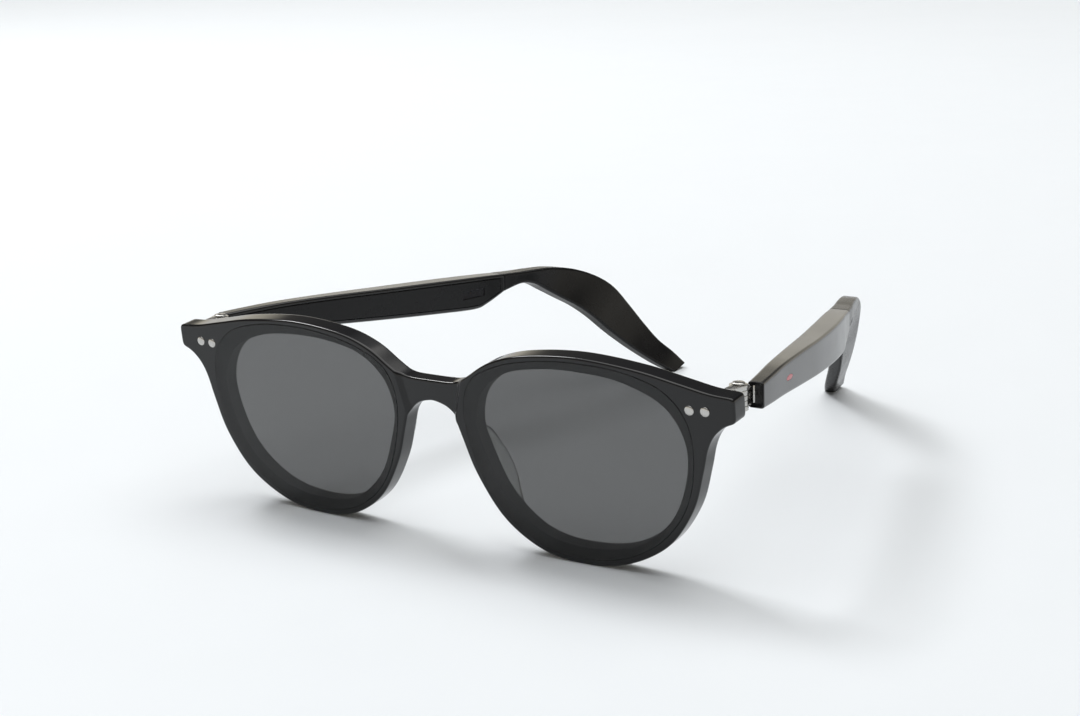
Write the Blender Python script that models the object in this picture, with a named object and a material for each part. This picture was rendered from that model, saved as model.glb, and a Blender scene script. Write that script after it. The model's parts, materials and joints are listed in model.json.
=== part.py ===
"""Smart sunglasses with audio in the temples, modelled for Blender 4.5.

Run with:  blender --background --python part.py
Lengths below are millimetres and objects are in metres, +Z up. The glasses stand on a table on
the two rim bottoms and the two temple tips. The wearer looks towards -Y, so +X is the wearer's
left. The front is drawn in its own plane (across, up, depth back) and then leant into place.
"""

from math import cos, pi, radians, sin, tan

import bmesh
import bpy
from mathutils import Vector

MM = 0.001

# Placing. Shapes are drawn from the front plane back and from just under the table up; the
# object's origin is the middle of its overall box at table height.
ORIGIN = Vector((0.0, 74.05, 0.2))
LENS_HEIGHT = 23.16          # lens centres, before the origin is taken off
FRONT_LEAN = radians(5.2)    # top of the front tips towards -Y
FRONT_WRAP = radians(1.8)    # each half of the front turns back from the bridge
WRAP_START = 8.0             # half width of the curved middle, past which each half is flat

# Front.
FRONT_THICKNESS = 4.8
FRONT_ROUND = 0.6            # rounding of the front's outer edges
LENS_THICKNESS = 1.2
LENS_PROUD = 0.1             # lens face in front of the rim
LENS_GAP = 0.15
LENS_BEVEL = 0.25
BRIDGE_SETBACK = 0.9

# Half outlines in the front's plane, (across, up), for the +X side.
FRONT_TOP = [(0, 13.1), (6.3, 13.3), (9.6, 14.9), (15.5, 18.7), (23.5, 21.2), (36.5, 22.3),
             (50.0, 21.2), (60.0, 19.3), (66.5, 18.0), (72.0, 17.6)]
FRONT_BOTTOM = [(72.0, 12.4), (69.6, 11.5), (67.0, 9.1), (65.4, 5.8), (64.2, 1.0), (61.4, -7.6),
                (55.2, -16.2), (45.5, -21.7), (35.5, -23.2), (25.5, -21.8), (16.6, -16.0),
                (10.6, -6.8), (7.6, 1.4), (6.2, 5.2), (3.6, 7.6), (0, 8.6)]
LENS_EDGE = [(8.9, 6.5), (11.2, 14.4), (18.4, 18.5), (27.5, 20.5), (37.0, 21.1), (47.5, 20.3),
             (56.5, 17.3), (61.5, 11.0), (62.2, 1.5), (59.6, -7.8), (53.6, -15.3), (44.5, -20.4),
             (34.5, -21.8), (24.5, -19.8), (16.4, -13.8), (11.4, -5.0)]
OPENING_EDGE = [(10.9, 5.0), (13.0, 11.8), (19.0, 16.6), (27.5, 18.5), (37.0, 18.8), (47.0, 17.6),
                (56.0, 13.5), (60.2, 6.0), (59.4, -3.0), (55.0, -11.8), (46.0, -18.1),
                (34.5, -19.8), (24.5, -17.8), (16.6, -10.8), (12.4, -1.6)]

# Rivets through the end pieces.
RIVET_PLACES = {"inner": (62.2, 14.2), "outer": (65.6, 14.3)}
RIVET_HEAD_RADIUS = 1.05
RIVET_HEAD_HEIGHT = 0.35
RIVET_SHANK_RADIUS = 0.6
FIT_GAP = 0.1                # between pieces that touch on the real object

# Nose pads, glued to the back of the front: (up, height, sideways flare) along each pad.
PAD_STATIONS = [(3.0, 0.8, 0.2), (1.5, 1.6, 0.6), (-1.0, 2.4, 1.1), (-4.5, 2.9, 1.7),
                (-8.5, 2.4, 1.7), (-12.0, 1.3, 0.8), (-15.0, 0.5, 0.2)]
PAD_INNER_EDGE = [(7.6, 3.0), (8.05, 1.5), (8.8, -1.0), (10.1, -4.5), (11.95, -8.5), (13.9, -12.0),
                  (15.9, -15.0)]
PAD_WIDTH = 2.8

# Hinge. The pin stands upright.
PIN = Vector((68.0, 10.0, 0.0))
PIN_RADIUS = 0.75
KNUCKLE_RADIUS = 1.95
KNUCKLE_BOTTOM = 35.95
KNUCKLE_HEIGHT = 0.95
KNUCKLE_COUNT = 5
HINGE_HEIGHT = KNUCKLE_COUNT * KNUCKLE_HEIGHT + (KNUCKLE_COUNT - 1) * FIT_GAP
LEAF_THICKNESS = 1.0
WEB_LOW, WEB_HIGH = 36.45, 40.15     # the web from the temple's knuckles into the temple's end
WEB_PLAN = [(67.7, 12.15), (69.4, 12.15), (69.4, 13.5), (70.4, 14.0), (70.4, 14.4), (69.5, 14.4),
            (68.9, 13.6), (67.7, 13.3)]
TONGUE_CENTRE = 19.5         # depth of the middle of the tongue inside the temple
TONGUE_SIZE = (11.2, 2.8, 1.1)
TONGUE_SCREWS = {"front": -1.3, "rear": 2.9}    # along the tongue from its middle
NOTCH_LOW, NOTCH_HIGH = (66.0, 12.0, WEB_LOW - 0.12), (69.95, 14.55, WEB_HIGH + 0.12)
POCKET_LOW, POCKET_HIGH = (68.6, 13.75, WEB_LOW - 0.12), (70.55, 14.55, WEB_HIGH + 0.12)
SCREW_RADIUS = 0.45
SCREW_REACH = 1.35           # screw tip, towards the outer face from the tongue's middle

# Temple: (y top, z top, y bottom, z bottom, outer x, thickness) along its length.
CASE_STATIONS = [(13.3, 41.0, 13.3, 35.6, 71.9, 3.6), (20, 40.9, 20, 34.9, 70.6, 3.8),
                 (30, 40.6, 30, 33.9, 68.5, 4.2), (45, 39.6, 45, 32.1, 65.4, 4.9),
                 (60, 38.4, 60, 30.4, 62.2, 5.6), (75, 37.3, 75, 28.9, 58.5, 6.0),
                 (86, 36.5, 86, 28.0, 55.3, 5.9), (90, 36.2, 90, 28.7, 54.0, 5.7),
                 (96, 35.7, 96, 31.0, 52.1, 5.3)]
TIP_STATIONS = [(96.2, 35.7, 96.2, 31.1, 52.0, 5.3), (102, 35.3, 102, 32.1, 50.1, 5.0),
                (107, 35.1, 106, 31.3, 48.3, 4.7), (113, 34.6, 110, 28.7, 46.3, 4.4),
                (120, 32.9, 113.8, 25.9, 43.7, 4.2), (127, 29.8, 117.4, 23.2, 41.1, 4.0),
                (132, 26.0, 121.4, 19.6, 38.7, 3.8), (136, 20.3, 126, 14.8, 36.2, 3.7),
                (139.5, 14.4, 130.8, 10.2, 33.5, 3.6), (142.7, 9.3, 135, 6.4, 30.8, 3.5),
                (146.2, 5.4, 139.3, 2.9, 28.2, 3.4), (149.4, 1.6, 143.4, 0.2, 26.1, 3.2)]
CASE_ROUND = 0.7
WALL = 0.9
COVER_THICKNESS = 0.9
COVER_GAP = 0.12
CAVITY_START, CAVITY_END = 14.8, 94.6

# Openings of the casing: (depth, length, height), and the light's (depth, rise above the middle).
BOTTOM_PORTS = {"microphone_mesh": (27.0, 1.8, 0.35), "vent_mesh": (69.0, 5.0, 0.35)}
PORT_WIDTH = 1.3
SOUND_OUTLET = (86.5, 7.0, 1.8)
LIGHT_PLACE = (32.0, -0.1)
LIGHT_SIZE = (5.0, 1.1)

# What one temple holds: (depth, length, height, thickness, shift towards the outer face).
INSIDE_BLOCKS = {
    "main_board": (40.4, 19.6, 4.6, 0.8, 0.0),
    "battery": (61.5, 20.0, 5.4, 2.2, -0.3),
    "speaker_driver": (80.5, 13.0, 6.2, 2.6, 0.1),
}
# Thin sheets against the outer wall: (depth, length, height, thickness, distance from the wall).
WALL_SHEETS = {
    "touch_flex": (39.0, 20.0, 4.0, 0.2, 0.4),
    "antenna_flex": (81.0, 16.0, 4.4, 0.2, 0.4),
    "charging_coil": (61.5, 14.0, 5.0, 0.3, 0.35),
}
COIL_WINDOW = (11.0, 2.4)
MICROPHONE_SIZE = (2.6, 1.8, 0.9)
CORE_RADIUS = 0.6            # steel wire inside the ear tip

MATERIALS = {
    # name: (red, green, blue), roughness, metallic, alpha
    "black_acetate": ((0.012, 0.012, 0.014), 0.22, 0.0, 1.0),
    "clear_acetate": ((0.80, 0.81, 0.80), 0.08, 0.0, 0.25),
    "tinted_lens": ((0.09, 0.10, 0.095), 0.04, 0.0, 0.55),
    "polished_steel": ((0.62, 0.62, 0.61), 0.22, 1.0, 1.0),
    "moulded_nylon": ((0.014, 0.014, 0.016), 0.30, 0.0, 1.0),
    "soft_tip": ((0.013, 0.013, 0.015), 0.45, 0.0, 1.0),
    "board_green": ((0.02, 0.12, 0.06), 0.5, 0.0, 1.0),
    "cell_foil": ((0.55, 0.56, 0.58), 0.35, 1.0, 1.0),
    "driver_black": ((0.03, 0.03, 0.035), 0.45, 0.0, 1.0),
    "woven_steel": ((0.10, 0.10, 0.11), 0.5, 1.0, 1.0),
    "flex_amber": ((0.45, 0.22, 0.04), 0.4, 0.0, 1.0),
    "coil_copper": ((0.72, 0.34, 0.16), 0.35, 1.0, 1.0),
    "light_window": ((0.55, 0.20, 0.20), 0.15, 0.0, 1.0),
}


# ---------------------------------------------------------------- outlines and frames

def curve_through(points, steps, closed=False):
    """Points on a smooth Catmull-Rom curve through the given ones."""
    count = len(points)
    spans = count if closed else count - 1
    out = []
    for i in range(spans):
        if closed:
            p0, p1, p2, p3 = (Vector(points[(i + k) % count]) for k in (-1, 0, 1, 2))
        else:
            p1, p2 = Vector(points[i]), Vector(points[i + 1])
            p0 = Vector(points[i - 1]) if i > 0 else 2 * p1 - p2
            p3 = Vector(points[i + 2]) if i + 2 < count else 2 * p2 - p1
        for k in range(steps):
            t = k / steps
            out.append(0.5 * (2 * p1 + (p2 - p0) * t + (2 * p0 - 5 * p1 + 4 * p2 - p3) * t * t
                              + (3 * p1 - p0 - 3 * p2 + p3) * t ** 3))
    if not closed:
        out.append(Vector(points[-1]))
    return out


def offset_outline(outline, distance):
    """The closed outline moved inwards by the distance (outwards where it is negative)."""
    count = len(outline)
    area = sum(outline[i].cross(outline[(i + 1) % count]) for i in range(count))
    turn = 1.0 if area > 0 else -1.0
    out = []
    for i, point in enumerate(outline):
        before = (point - outline[i - 1]).normalized()
        after = (outline[(i + 1) % count] - point).normalized()
        normal = Vector((-before.y - after.y, before.x + after.x)) * turn
        normal.normalize()
        slope = normal.dot(Vector((-after.y, after.x)) * turn)
        out.append(point + normal * distance / max(slope, 0.5))
    return out


def front_to_world(point, side=1.0):
    """A point (across, up, depth) of the front's plane, in world millimetres."""
    across, up, depth = point
    reach = abs(across)
    if reach < WRAP_START:
        depth += tan(FRONT_WRAP) * reach ** 2 / (2 * WRAP_START)
    else:
        depth += tan(FRONT_WRAP) * (reach - WRAP_START / 2)
    return Vector((across * side,
                   depth * cos(FRONT_LEAN) - up * sin(FRONT_LEAN),
                   depth * sin(FRONT_LEAN) + up * cos(FRONT_LEAN) + LENS_HEIGHT)) - ORIGIN


def temple_to_world(point, side=1.0):
    """A point of the +X temple or hinge, measured from the front plane, in world millimetres."""
    return Vector((point[0] * side, point[1], point[2])) - ORIGIN


# ---------------------------------------------------------------- mesh tools

def loft(rings):
    """A closed solid through rings of equal point count, capped at both ends."""
    bm = bmesh.new()
    loops = [[bm.verts.new(point) for point in ring] for ring in rings]
    count = len(loops[0])
    for low, high in zip(loops, loops[1:]):
        for i in range(count):
            j = (i + 1) % count
            bm.faces.new((low[i], low[j], high[j], high[i]))
    bm.faces.new(loops[0][::-1])
    bm.faces.new(loops[-1])
    bmesh.ops.recalc_face_normals(bm, faces=bm.faces)
    return bm


def slab(outline, levels):
    """A plate with the outline's shape: levels are (depth, inset) pairs from front to back."""
    rings = []
    for depth, inset in levels:
        ring = offset_outline(outline, inset) if inset else outline
        rings.append([Vector((p.x, p.y, depth)) for p in ring])
    return loft(rings)


def box(low, high):
    """A plain block between two corners."""
    rings = [[Vector((x, y, z)) for x, y in ((low[0], low[1]), (high[0], low[1]),
                                             (high[0], high[1]), (low[0], high[1]))]
             for z in (low[2], high[2])]
    return loft(rings)


def turned(profile, sides=20):
    """A solid of revolution about Z from (radius, height) pairs, flat at both ends."""
    rings = [[Vector((r * cos(2 * pi * k / sides), r * sin(2 * pi * k / sides), z))
              for k in range(sides)] for r, z in profile]
    return loft(rings)


def mapped(bm, place):
    """The mesh with every point sent through the function."""
    for vert in bm.verts:
        vert.co = place(vert.co)
    bm.normal_update()
    bmesh.ops.recalc_face_normals(bm, faces=bm.faces)
    return bm


def piece(name, bm):
    """A scratch object in millimetres."""
    bm.normal_update()
    bmesh.ops.recalc_face_normals(bm, faces=bm.faces)
    mesh = bpy.data.meshes.new(name)
    bm.to_mesh(mesh)
    bm.free()
    obj = bpy.data.objects.new(name, mesh)
    bpy.context.scene.collection.objects.link(obj)
    return obj


def combine(obj, others, operation):
    """Join or cut the object with each of the others, and remove those."""
    for other in others:
        modifier = obj.modifiers.new(operation.lower(), "BOOLEAN")
        modifier.operation = operation
        modifier.solver = "EXACT"
        modifier.object = other
        bpy.context.view_layer.update()
        graph = bpy.context.evaluated_depsgraph_get()
        result = bpy.data.meshes.new_from_object(obj.evaluated_get(graph))
        obj.modifiers.clear()
        obj.data = result
        bpy.data.objects.remove(other)
    return obj


def material_for(name):
    """The named Principled material, made once."""
    if name in bpy.data.materials:
        return bpy.data.materials[name]
    colour, roughness, metallic, alpha = MATERIALS[name]
    material = bpy.data.materials.new(name)
    material.use_nodes = True
    shader = material.node_tree.nodes["Principled BSDF"]
    shader.inputs["Base Color"].default_value = (*colour, 1.0)
    shader.inputs["Roughness"].default_value = roughness
    shader.inputs["Metallic"].default_value = metallic
    shader.inputs["Alpha"].default_value = alpha
    return material


def finish(obj, material, place, pivot=None):
    """Send a scratch object to its place in metres, with its origin on the pivot."""
    bm = bmesh.new()
    bm.from_mesh(obj.data)
    bmesh.ops.triangulate(bm, faces=bm.faces)
    origin = pivot.copy() if pivot is not None else Vector((0, 0, 0))
    for vert in bm.verts:
        vert.co = (place(vert.co) - origin) * MM
    bmesh.ops.remove_doubles(bm, verts=bm.verts, dist=0.000002)
    bmesh.ops.dissolve_degenerate(bm, edges=bm.edges, dist=0.000002)
    bmesh.ops.triangulate(bm, faces=bm.faces)
    bm.normal_update()
    bmesh.ops.recalc_face_normals(bm, faces=bm.faces)
    bm.to_mesh(obj.data)
    bm.free()
    obj.location = origin * MM
    obj.data.materials.clear()
    obj.data.materials.append(material_for(material))
    return obj


# ---------------------------------------------------------------- front

def front_outline():
    """The whole front's silhouette, closed, both halves."""
    half = curve_through(FRONT_TOP, 3) + curve_through(FRONT_BOTTOM, 3)
    mirrored = [Vector((-p.x, p.y)) for p in reversed(half[1:-1])]
    return half + mirrored


def half_outline(points, side):
    """A closed outline on one side of the front."""
    outline = curve_through(points, 4, closed=True)
    return [Vector((p.x * side, p.y)) for p in outline]


def make_front_frame():
    edge = FRONT_ROUND
    back = FRONT_THICKNESS
    levels = [(0, edge), (0.3 * edge, 0.3 * edge), (edge, 0), (back - edge, 0),
              (back - 0.3 * edge, 0.3 * edge), (back, edge)]
    frame = piece("front_frame", slab(front_outline(), levels))
    cutters = []
    for side in (-1, 1):
        seat = offset_outline(half_outline(LENS_EDGE, side), -LENS_GAP)
        pocket_floor = LENS_THICKNESS - LENS_PROUD + LENS_GAP
        cutters.append(piece("seat", slab(seat, [(-2, 0), (pocket_floor, 0)])))
        opening = half_outline(OPENING_EDGE, side)
        cutters.append(piece("opening", slab(opening, [(-3, 0), (back + 3, 0)])))
        for across, up in RIVET_PLACES.values():
            hole = turned([(RIVET_SHANK_RADIUS + FIT_GAP, -2), (RIVET_SHANK_RADIUS + FIT_GAP, 9)], 12)
            cutters.append(piece("hole", mapped(hole, lambda p: p + Vector((across * side, up, 0)))))
    cutters.append(piece("setback", bridge_cutter()))
    combine(frame, cutters, "DIFFERENCE")
    return finish(frame, "black_acetate", front_to_world)


def bridge_cutter():
    """What the bridge's face is set back by, with a slanted flank at each rim."""
    rings = []
    for depth, spread in ((-1.0, 2.1), (BRIDGE_SETBACK, -0.3)):
        rings.append([Vector((across * sign, up, depth)) for sign, across, up in (
            (-1, 5.0 + spread, 2.0), (1, 5.0 + spread, 2.0),
            (1, 8.8 + spread, 18.0), (-1, 8.8 + spread, 18.0))])
    return loft(rings)


def make_lens(side, name):
    levels = [(-LENS_PROUD, LENS_BEVEL), (LENS_BEVEL - LENS_PROUD, 0),
              (LENS_THICKNESS - LENS_PROUD, 0)]
    lens = piece(name, slab(half_outline(LENS_EDGE, side), levels))
    return finish(lens, "tinted_lens", front_to_world)


def make_nose_pad(side, name):
    base = FRONT_THICKNESS + FIT_GAP
    rings = []
    for (up, height, flare), (inner, _) in zip(PAD_STATIONS, PAD_INNER_EDGE):
        section = [(0.0, 0.0), (PAD_WIDTH, 0.0), (PAD_WIDTH + 0.5 * flare, 0.55 * height),
                   (PAD_WIDTH + 0.7 * flare, 0.85 * height), (0.7 * PAD_WIDTH + flare, height),
                   (0.35 * PAD_WIDTH + flare, 0.93 * height), (0.55 * flare, 0.5 * height)]
        rings.append([Vector(((inner + across) * side, up, base + rise)) for across, rise in section])
    pad = piece(name, loft(rings))
    return finish(pad, "clear_acetate", front_to_world)


def make_rivet(side, name, place):
    """Domed head in front, shank through the end piece, peened tail behind the hinge plate."""
    across, up = place
    head, shank = RIVET_HEAD_RADIUS, RIVET_SHANK_RADIUS
    plate_back = FRONT_THICKNESS + FIT_GAP + LEAF_THICKNESS
    profile = [(0.3 * head, -RIVET_HEAD_HEIGHT), (0.7 * head, -0.75 * RIVET_HEAD_HEIGHT),
               (head, -0.12), (head, -0.04), (shank, -0.04), (shank, plate_back + 0.06),
               (1.4 * shank, plate_back + 0.06), (1.1 * shank, plate_back + 0.35)]
    rivet = piece(name, turned(profile, 16))
    return finish(rivet, "polished_steel",
                  lambda p: front_to_world(p + Vector((across * side, up, 0))))


# ---------------------------------------------------------------- hinge

def knuckle_levels(index):
    low = KNUCKLE_BOTTOM + index * (KNUCKLE_HEIGHT + FIT_GAP)
    return low, low + KNUCKLE_HEIGHT


def lug(index, start, end, root):
    """One knuckle: an arc about the pin between two angles, closed by the root's points."""
    low, high = knuckle_levels(index)
    outline = []
    steps = 14
    for k in range(steps + 1):
        angle = radians(start + (end - start) * k / steps)
        outline.append((PIN.x + KNUCKLE_RADIUS * cos(angle), PIN.y + KNUCKLE_RADIUS * sin(angle)))
    outline += root
    return piece("lug", loft([[Vector((x, y, z)) for x, y in outline] for z in (low, high)]))


def pin_bore():
    radius = PIN_RADIUS + FIT_GAP
    return piece("bore", mapped(turned([(radius, 30), (radius, 46)], 16), lambda p: p + PIN))


def behind_end_piece(point):
    """A point of the front's plane, in the hinge's own millimetres."""
    return front_to_world(point) + ORIGIN


def make_front_leaf(side, name):
    """The plate riveted behind the end piece, with knuckles 0, 2 and 4."""
    base = FRONT_THICKNESS + FIT_GAP
    plate = box((60.4, 12.3, base), (69.4, 17.2, base + LEAF_THICKNESS))
    leaf = piece(name, mapped(plate, behind_end_piece))
    holes = []
    for across, up in RIVET_PLACES.values():
        radius = RIVET_SHANK_RADIUS + FIT_GAP
        hole = turned([(radius, base - 1), (radius, base + 2)], 12)
        holes.append(piece("hole", mapped(hole, lambda p: behind_end_piece(
            p + Vector((across, up, 0))))))
    combine(leaf, holes, "DIFFERENCE")
    lugs = [lug(index, -30, 190, [(66.9, 8.2), (66.9, 6.2), (69.0, 6.2)])
            for index in range(0, KNUCKLE_COUNT, 2)]
    combine(leaf, lugs, "UNION")
    combine(leaf, [pin_bore()], "DIFFERENCE")
    return finish(leaf, "polished_steel", lambda p: temple_to_world(p, side))


def make_temple_leaf(side, name, pivot):
    """Knuckles 1 and 3, the web behind them and the tongue inside the temple."""
    leaf = piece(name, block(TONGUE_CENTRE, *TONGUE_SIZE))
    holes = []
    for along in TONGUE_SCREWS.values():
        radius = SCREW_RADIUS + FIT_GAP
        holes.append(piece("hole", mapped(turned([(radius, -3), (radius, 3)], 12),
                                          lambda p: screw_place(p, along))))
    combine(leaf, holes, "DIFFERENCE")
    web = loft([[Vector((x, y, z)) for x, y in WEB_PLAN] for z in (WEB_LOW, WEB_HIGH)])
    parts = [piece("web", web)]
    parts += [lug(index, 100, 385, [(69.38, 12.7), (67.75, 12.7)])
              for index in range(1, KNUCKLE_COUNT, 2)]
    combine(leaf, parts, "UNION")
    combine(leaf, [pin_bore()], "DIFFERENCE")
    return finish(leaf, "polished_steel", lambda p: temple_to_world(p, side), pivot)


def screw_place(point, along):
    """A point turned about Z, laid across the tongue with its height pointing outwards."""
    return in_temple((point.z, point.x + along, point.y), TONGUE_CENTRE)


def make_pin(side, name):
    """The hinge screw: slotted head on top, plain shank through all five knuckles."""
    top = KNUCKLE_BOTTOM + HINGE_HEIGHT
    profile = [(0.6, KNUCKLE_BOTTOM - 0.2), (PIN_RADIUS, KNUCKLE_BOTTOM), (PIN_RADIUS, top + 0.06),
               (1.35, top + 0.06), (1.35, top + 0.36), (1.1, top + 0.52)]
    pin = piece(name, mapped(turned(profile), lambda p: p + PIN))
    slot = piece("slot", box((66.0, 9.85, top + 0.3), (70.0, 10.15, top + 1.0)))
    combine(pin, [slot], "DIFFERENCE")
    return finish(pin, "polished_steel", lambda p: temple_to_world(p, side))


# ---------------------------------------------------------------- temple

def smooth_stations(stations, steps):
    """More stations on smooth curves through the given ones."""
    sections = [curve_through([(row[0], row[k]) for row in stations], steps) for k in (1, 4, 5)]
    lower = curve_through([(row[2], row[3]) for row in stations], steps)
    return [(top.x, top.y, low.x, low.y, outer.y, wide.y)
            for top, low, outer, wide in zip(sections[0], lower, sections[1], sections[2])]


def temple_ring(station, inset=0.0, outer_inset=0.0, inner_inset=0.0, corner=CASE_ROUND):
    """The rounded section of the temple at one station."""
    y_top, z_top, y_low, z_low, outer, thickness = station
    top, low = Vector((y_top, z_top)), Vector((y_low, z_low))
    rise = (top - low).normalized()
    top, low = top - rise * inset, low + rise * inset
    x_out, x_in = outer - outer_inset, outer - thickness + inner_inset
    height = (top - low).length
    corners = ((x_out, height, 0), (x_in, height, 1), (x_in, 0, 2), (x_out, 0, 3))
    points = []
    for x, h, quarter in corners:
        centre_x = x - corner if x == x_out else x + corner
        centre_h = h - corner if h else h + corner
        for k in range(3):
            angle = (quarter + k / 2) * pi / 2
            across = centre_x + corner * cos(angle)
            place = low + rise * (centre_h + corner * sin(angle))
            points.append(Vector((across, place.x, place.y)))
    return points


def station_at(y):
    """The casing's section where it crosses the given depth."""
    rows = smooth_stations(CASE_STATIONS, 8)
    for first, second in zip(rows, rows[1:]):
        if first[0] <= y <= second[0]:
            t = (y - first[0]) / (second[0] - first[0])
            return tuple(a + (b - a) * t for a, b in zip(first, second))
    return rows[-1]


def case_rows(start, end, count):
    return [station_at(start + (end - start) * k / (count - 1)) for k in range(count)]


def in_temple(point, centre, shift=0.0):
    """A point (towards outer face, along, up) about the middle of the casing at one depth."""
    row, ahead = station_at(centre), station_at(centre + 2.0)
    middle_x = row[4] - row[5] / 2
    middle_z = (row[1] + row[3]) / 2
    along = Vector((ahead[4] - row[4], 2.0, (ahead[1] + ahead[3]) / 2 - middle_z)).normalized()
    across = along.cross(Vector((0, 0, 1))).normalized()
    upward = across.cross(along)
    return Vector((middle_x, centre, middle_z)) + across * (point[0] + shift) \
        + along * point[1] + upward * point[2]


def block(centre, length, height, thickness, shift=0.0, chamfer=0.25):
    """A chamfered block lying along the casing."""
    half_l, half_h, half_t = length / 2, height / 2, thickness / 2
    rings = []
    for x, trim in ((-half_t, chamfer), (-half_t + chamfer, 0), (half_t - chamfer, 0),
                    (half_t, chamfer)):
        y_end, z_end = half_l - trim, half_h - trim
        cut = 2.0 * chamfer
        rings.append([Vector((x, y, z)) for y, z in (
            (-y_end + cut, -z_end), (y_end - cut, -z_end), (y_end, -z_end + cut),
            (y_end, z_end - cut), (y_end - cut, z_end), (-y_end + cut, z_end),
            (-y_end, z_end - cut), (-y_end, -z_end + cut))])
    return mapped(loft(rings), lambda p: in_temple(p, centre, shift))


def make_case(side, name, pivot, with_light):
    """The casing's outer half: outer face, top, bottom and both ends."""
    case = piece(name, loft([temple_ring(row) for row in smooth_stations(CASE_STATIONS, 3)]))
    rows = case_rows(CAVITY_START, CAVITY_END, 22)
    cavity = loft([temple_ring(row, WALL, WALL, -2.0, 0.3) for row in rows])
    length, height, thickness = (size + 2 * FIT_GAP for size in TONGUE_SIZE)
    cutters = [piece("cavity", cavity),
               piece("tongue_slot", block(TONGUE_CENTRE, length, height, thickness)),
               piece("notch", box(NOTCH_LOW, NOTCH_HIGH)),
               piece("pocket", box(POCKET_LOW, POCKET_HIGH))]
    for along in TONGUE_SCREWS.values():
        hole = turned([(SCREW_RADIUS + FIT_GAP, 0), (SCREW_RADIUS + FIT_GAP, SCREW_REACH + 0.1)], 12)
        cutters.append(piece("screw_hole", mapped(hole, lambda p: screw_place(p, along))))
    for centre, length, height in BOTTOM_PORTS.values():
        port = block(centre, length, 4.0, PORT_WIDTH, 0.0, 0.15)
        drop = (station_at(centre)[1] - station_at(centre)[3]) / 2
        cutters.append(piece("port", mapped(port, lambda p: p - Vector((0, 0, drop)))))
    if with_light:
        cutters.append(piece("light_hole", light_window(FIT_GAP, 2.0)))
    combine(case, cutters, "DIFFERENCE")
    return finish(case, "moulded_nylon", lambda p: temple_to_world(p, side), pivot)


def light_window(gap, length):
    """The long window of the status light, or with a gap around it the hole for it."""
    centre, rise = LIGHT_PLACE
    half = station_at(centre)[5] / 2
    long, high = (size / 2 + gap for size in LIGHT_SIZE)
    disc = turned([(0.9, half), (1.0, half - 0.1), (1.0, half - length)], 20)
    return mapped(disc, lambda p: in_temple((p.z, p.x * long, p.y * high + rise), centre))


def make_cover(side, name, pivot):
    """The inner cover, let into the casing, with the sound outlet near the ear."""
    inset = WALL + COVER_GAP
    rings = []
    for row in case_rows(CAVITY_START + COVER_GAP, CAVITY_END - COVER_GAP, 22):
        rings.append(temple_ring(row, inset, row[5] - COVER_THICKNESS, 0.0, 0.25))
    cover = piece(name, loft(rings))
    centre, length, height = SOUND_OUTLET
    outlet = block(centre, length + 2 * FIT_GAP, height + 2 * FIT_GAP, 6.0, -3.0, 0.05)
    combine(cover, [piece("outlet", outlet)], "DIFFERENCE")
    return finish(cover, "soft_tip", lambda p: temple_to_world(p, side), pivot)


def make_tip(side, name, pivot):
    """The ear tip: one moulded sleeve over the core, bent down behind the ear and inwards."""
    rows = smooth_stations(TIP_STATIONS, 2)
    rings = [temple_ring(row) for row in rows]
    end = rows[-1]
    nose = (end[0] + 0.5, end[1] - 0.6, end[2] + 0.5, end[3] + 0.15, end[4] - 0.3, end[5] - 0.6)
    rings.append(temple_ring(nose, 0.5, 0.3, 0.3, 0.5))
    tip = piece(name, loft(rings))
    combine(tip, [piece("bore", core_solid(CORE_RADIUS + FIT_GAP, 3.0, 0.3))], "DIFFERENCE")
    return finish(tip, "soft_tip", lambda p: temple_to_world(p, side), pivot)


def core_solid(radius, front_stretch, end_stretch):
    """A round wire along the middle of the tip, drawn out past its two ends by the stretches."""
    rows = smooth_stations(TIP_STATIONS[:-2], 2)
    middles = [Vector((row[4] - row[5] / 2, (row[0] + row[2]) / 2, (row[1] + row[3]) / 2))
               for row in rows]
    middles[0] += (middles[0] - middles[1]).normalized() * front_stretch
    middles[-1] += (middles[-1] - middles[-2]).normalized() * end_stretch
    rings = []
    for i, middle in enumerate(middles):
        along = (middles[min(i + 1, len(middles) - 1)] - middles[max(i - 1, 0)]).normalized()
        across = along.cross(Vector((0, 0, 1))).normalized()
        upward = across.cross(along)
        rings.append([middle + (across * cos(2 * pi * k / 10) + upward * sin(2 * pi * k / 10))
                      * radius for k in range(10)])
    return loft(rings)


def make_core(side, name, pivot):
    core = piece(name, core_solid(CORE_RADIUS, -0.05, 0.0))
    return finish(core, "polished_steel", lambda p: temple_to_world(p, side), pivot)


def make_tongue_screw(side, name, pivot, along):
    """A pan-head screw through the tongue into the casing's outer wall."""
    head = -TONGUE_SIZE[2] / 2 - 0.05
    profile = [(0.5, head - 0.28), (0.85, head - 0.15), (0.85, head), (SCREW_RADIUS, head),
               (SCREW_RADIUS, SCREW_REACH)]
    screw = piece(name, mapped(turned(profile, 12), lambda p: screw_place(p, along)))
    return finish(screw, "polished_steel", lambda p: temple_to_world(p, side), pivot)


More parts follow.
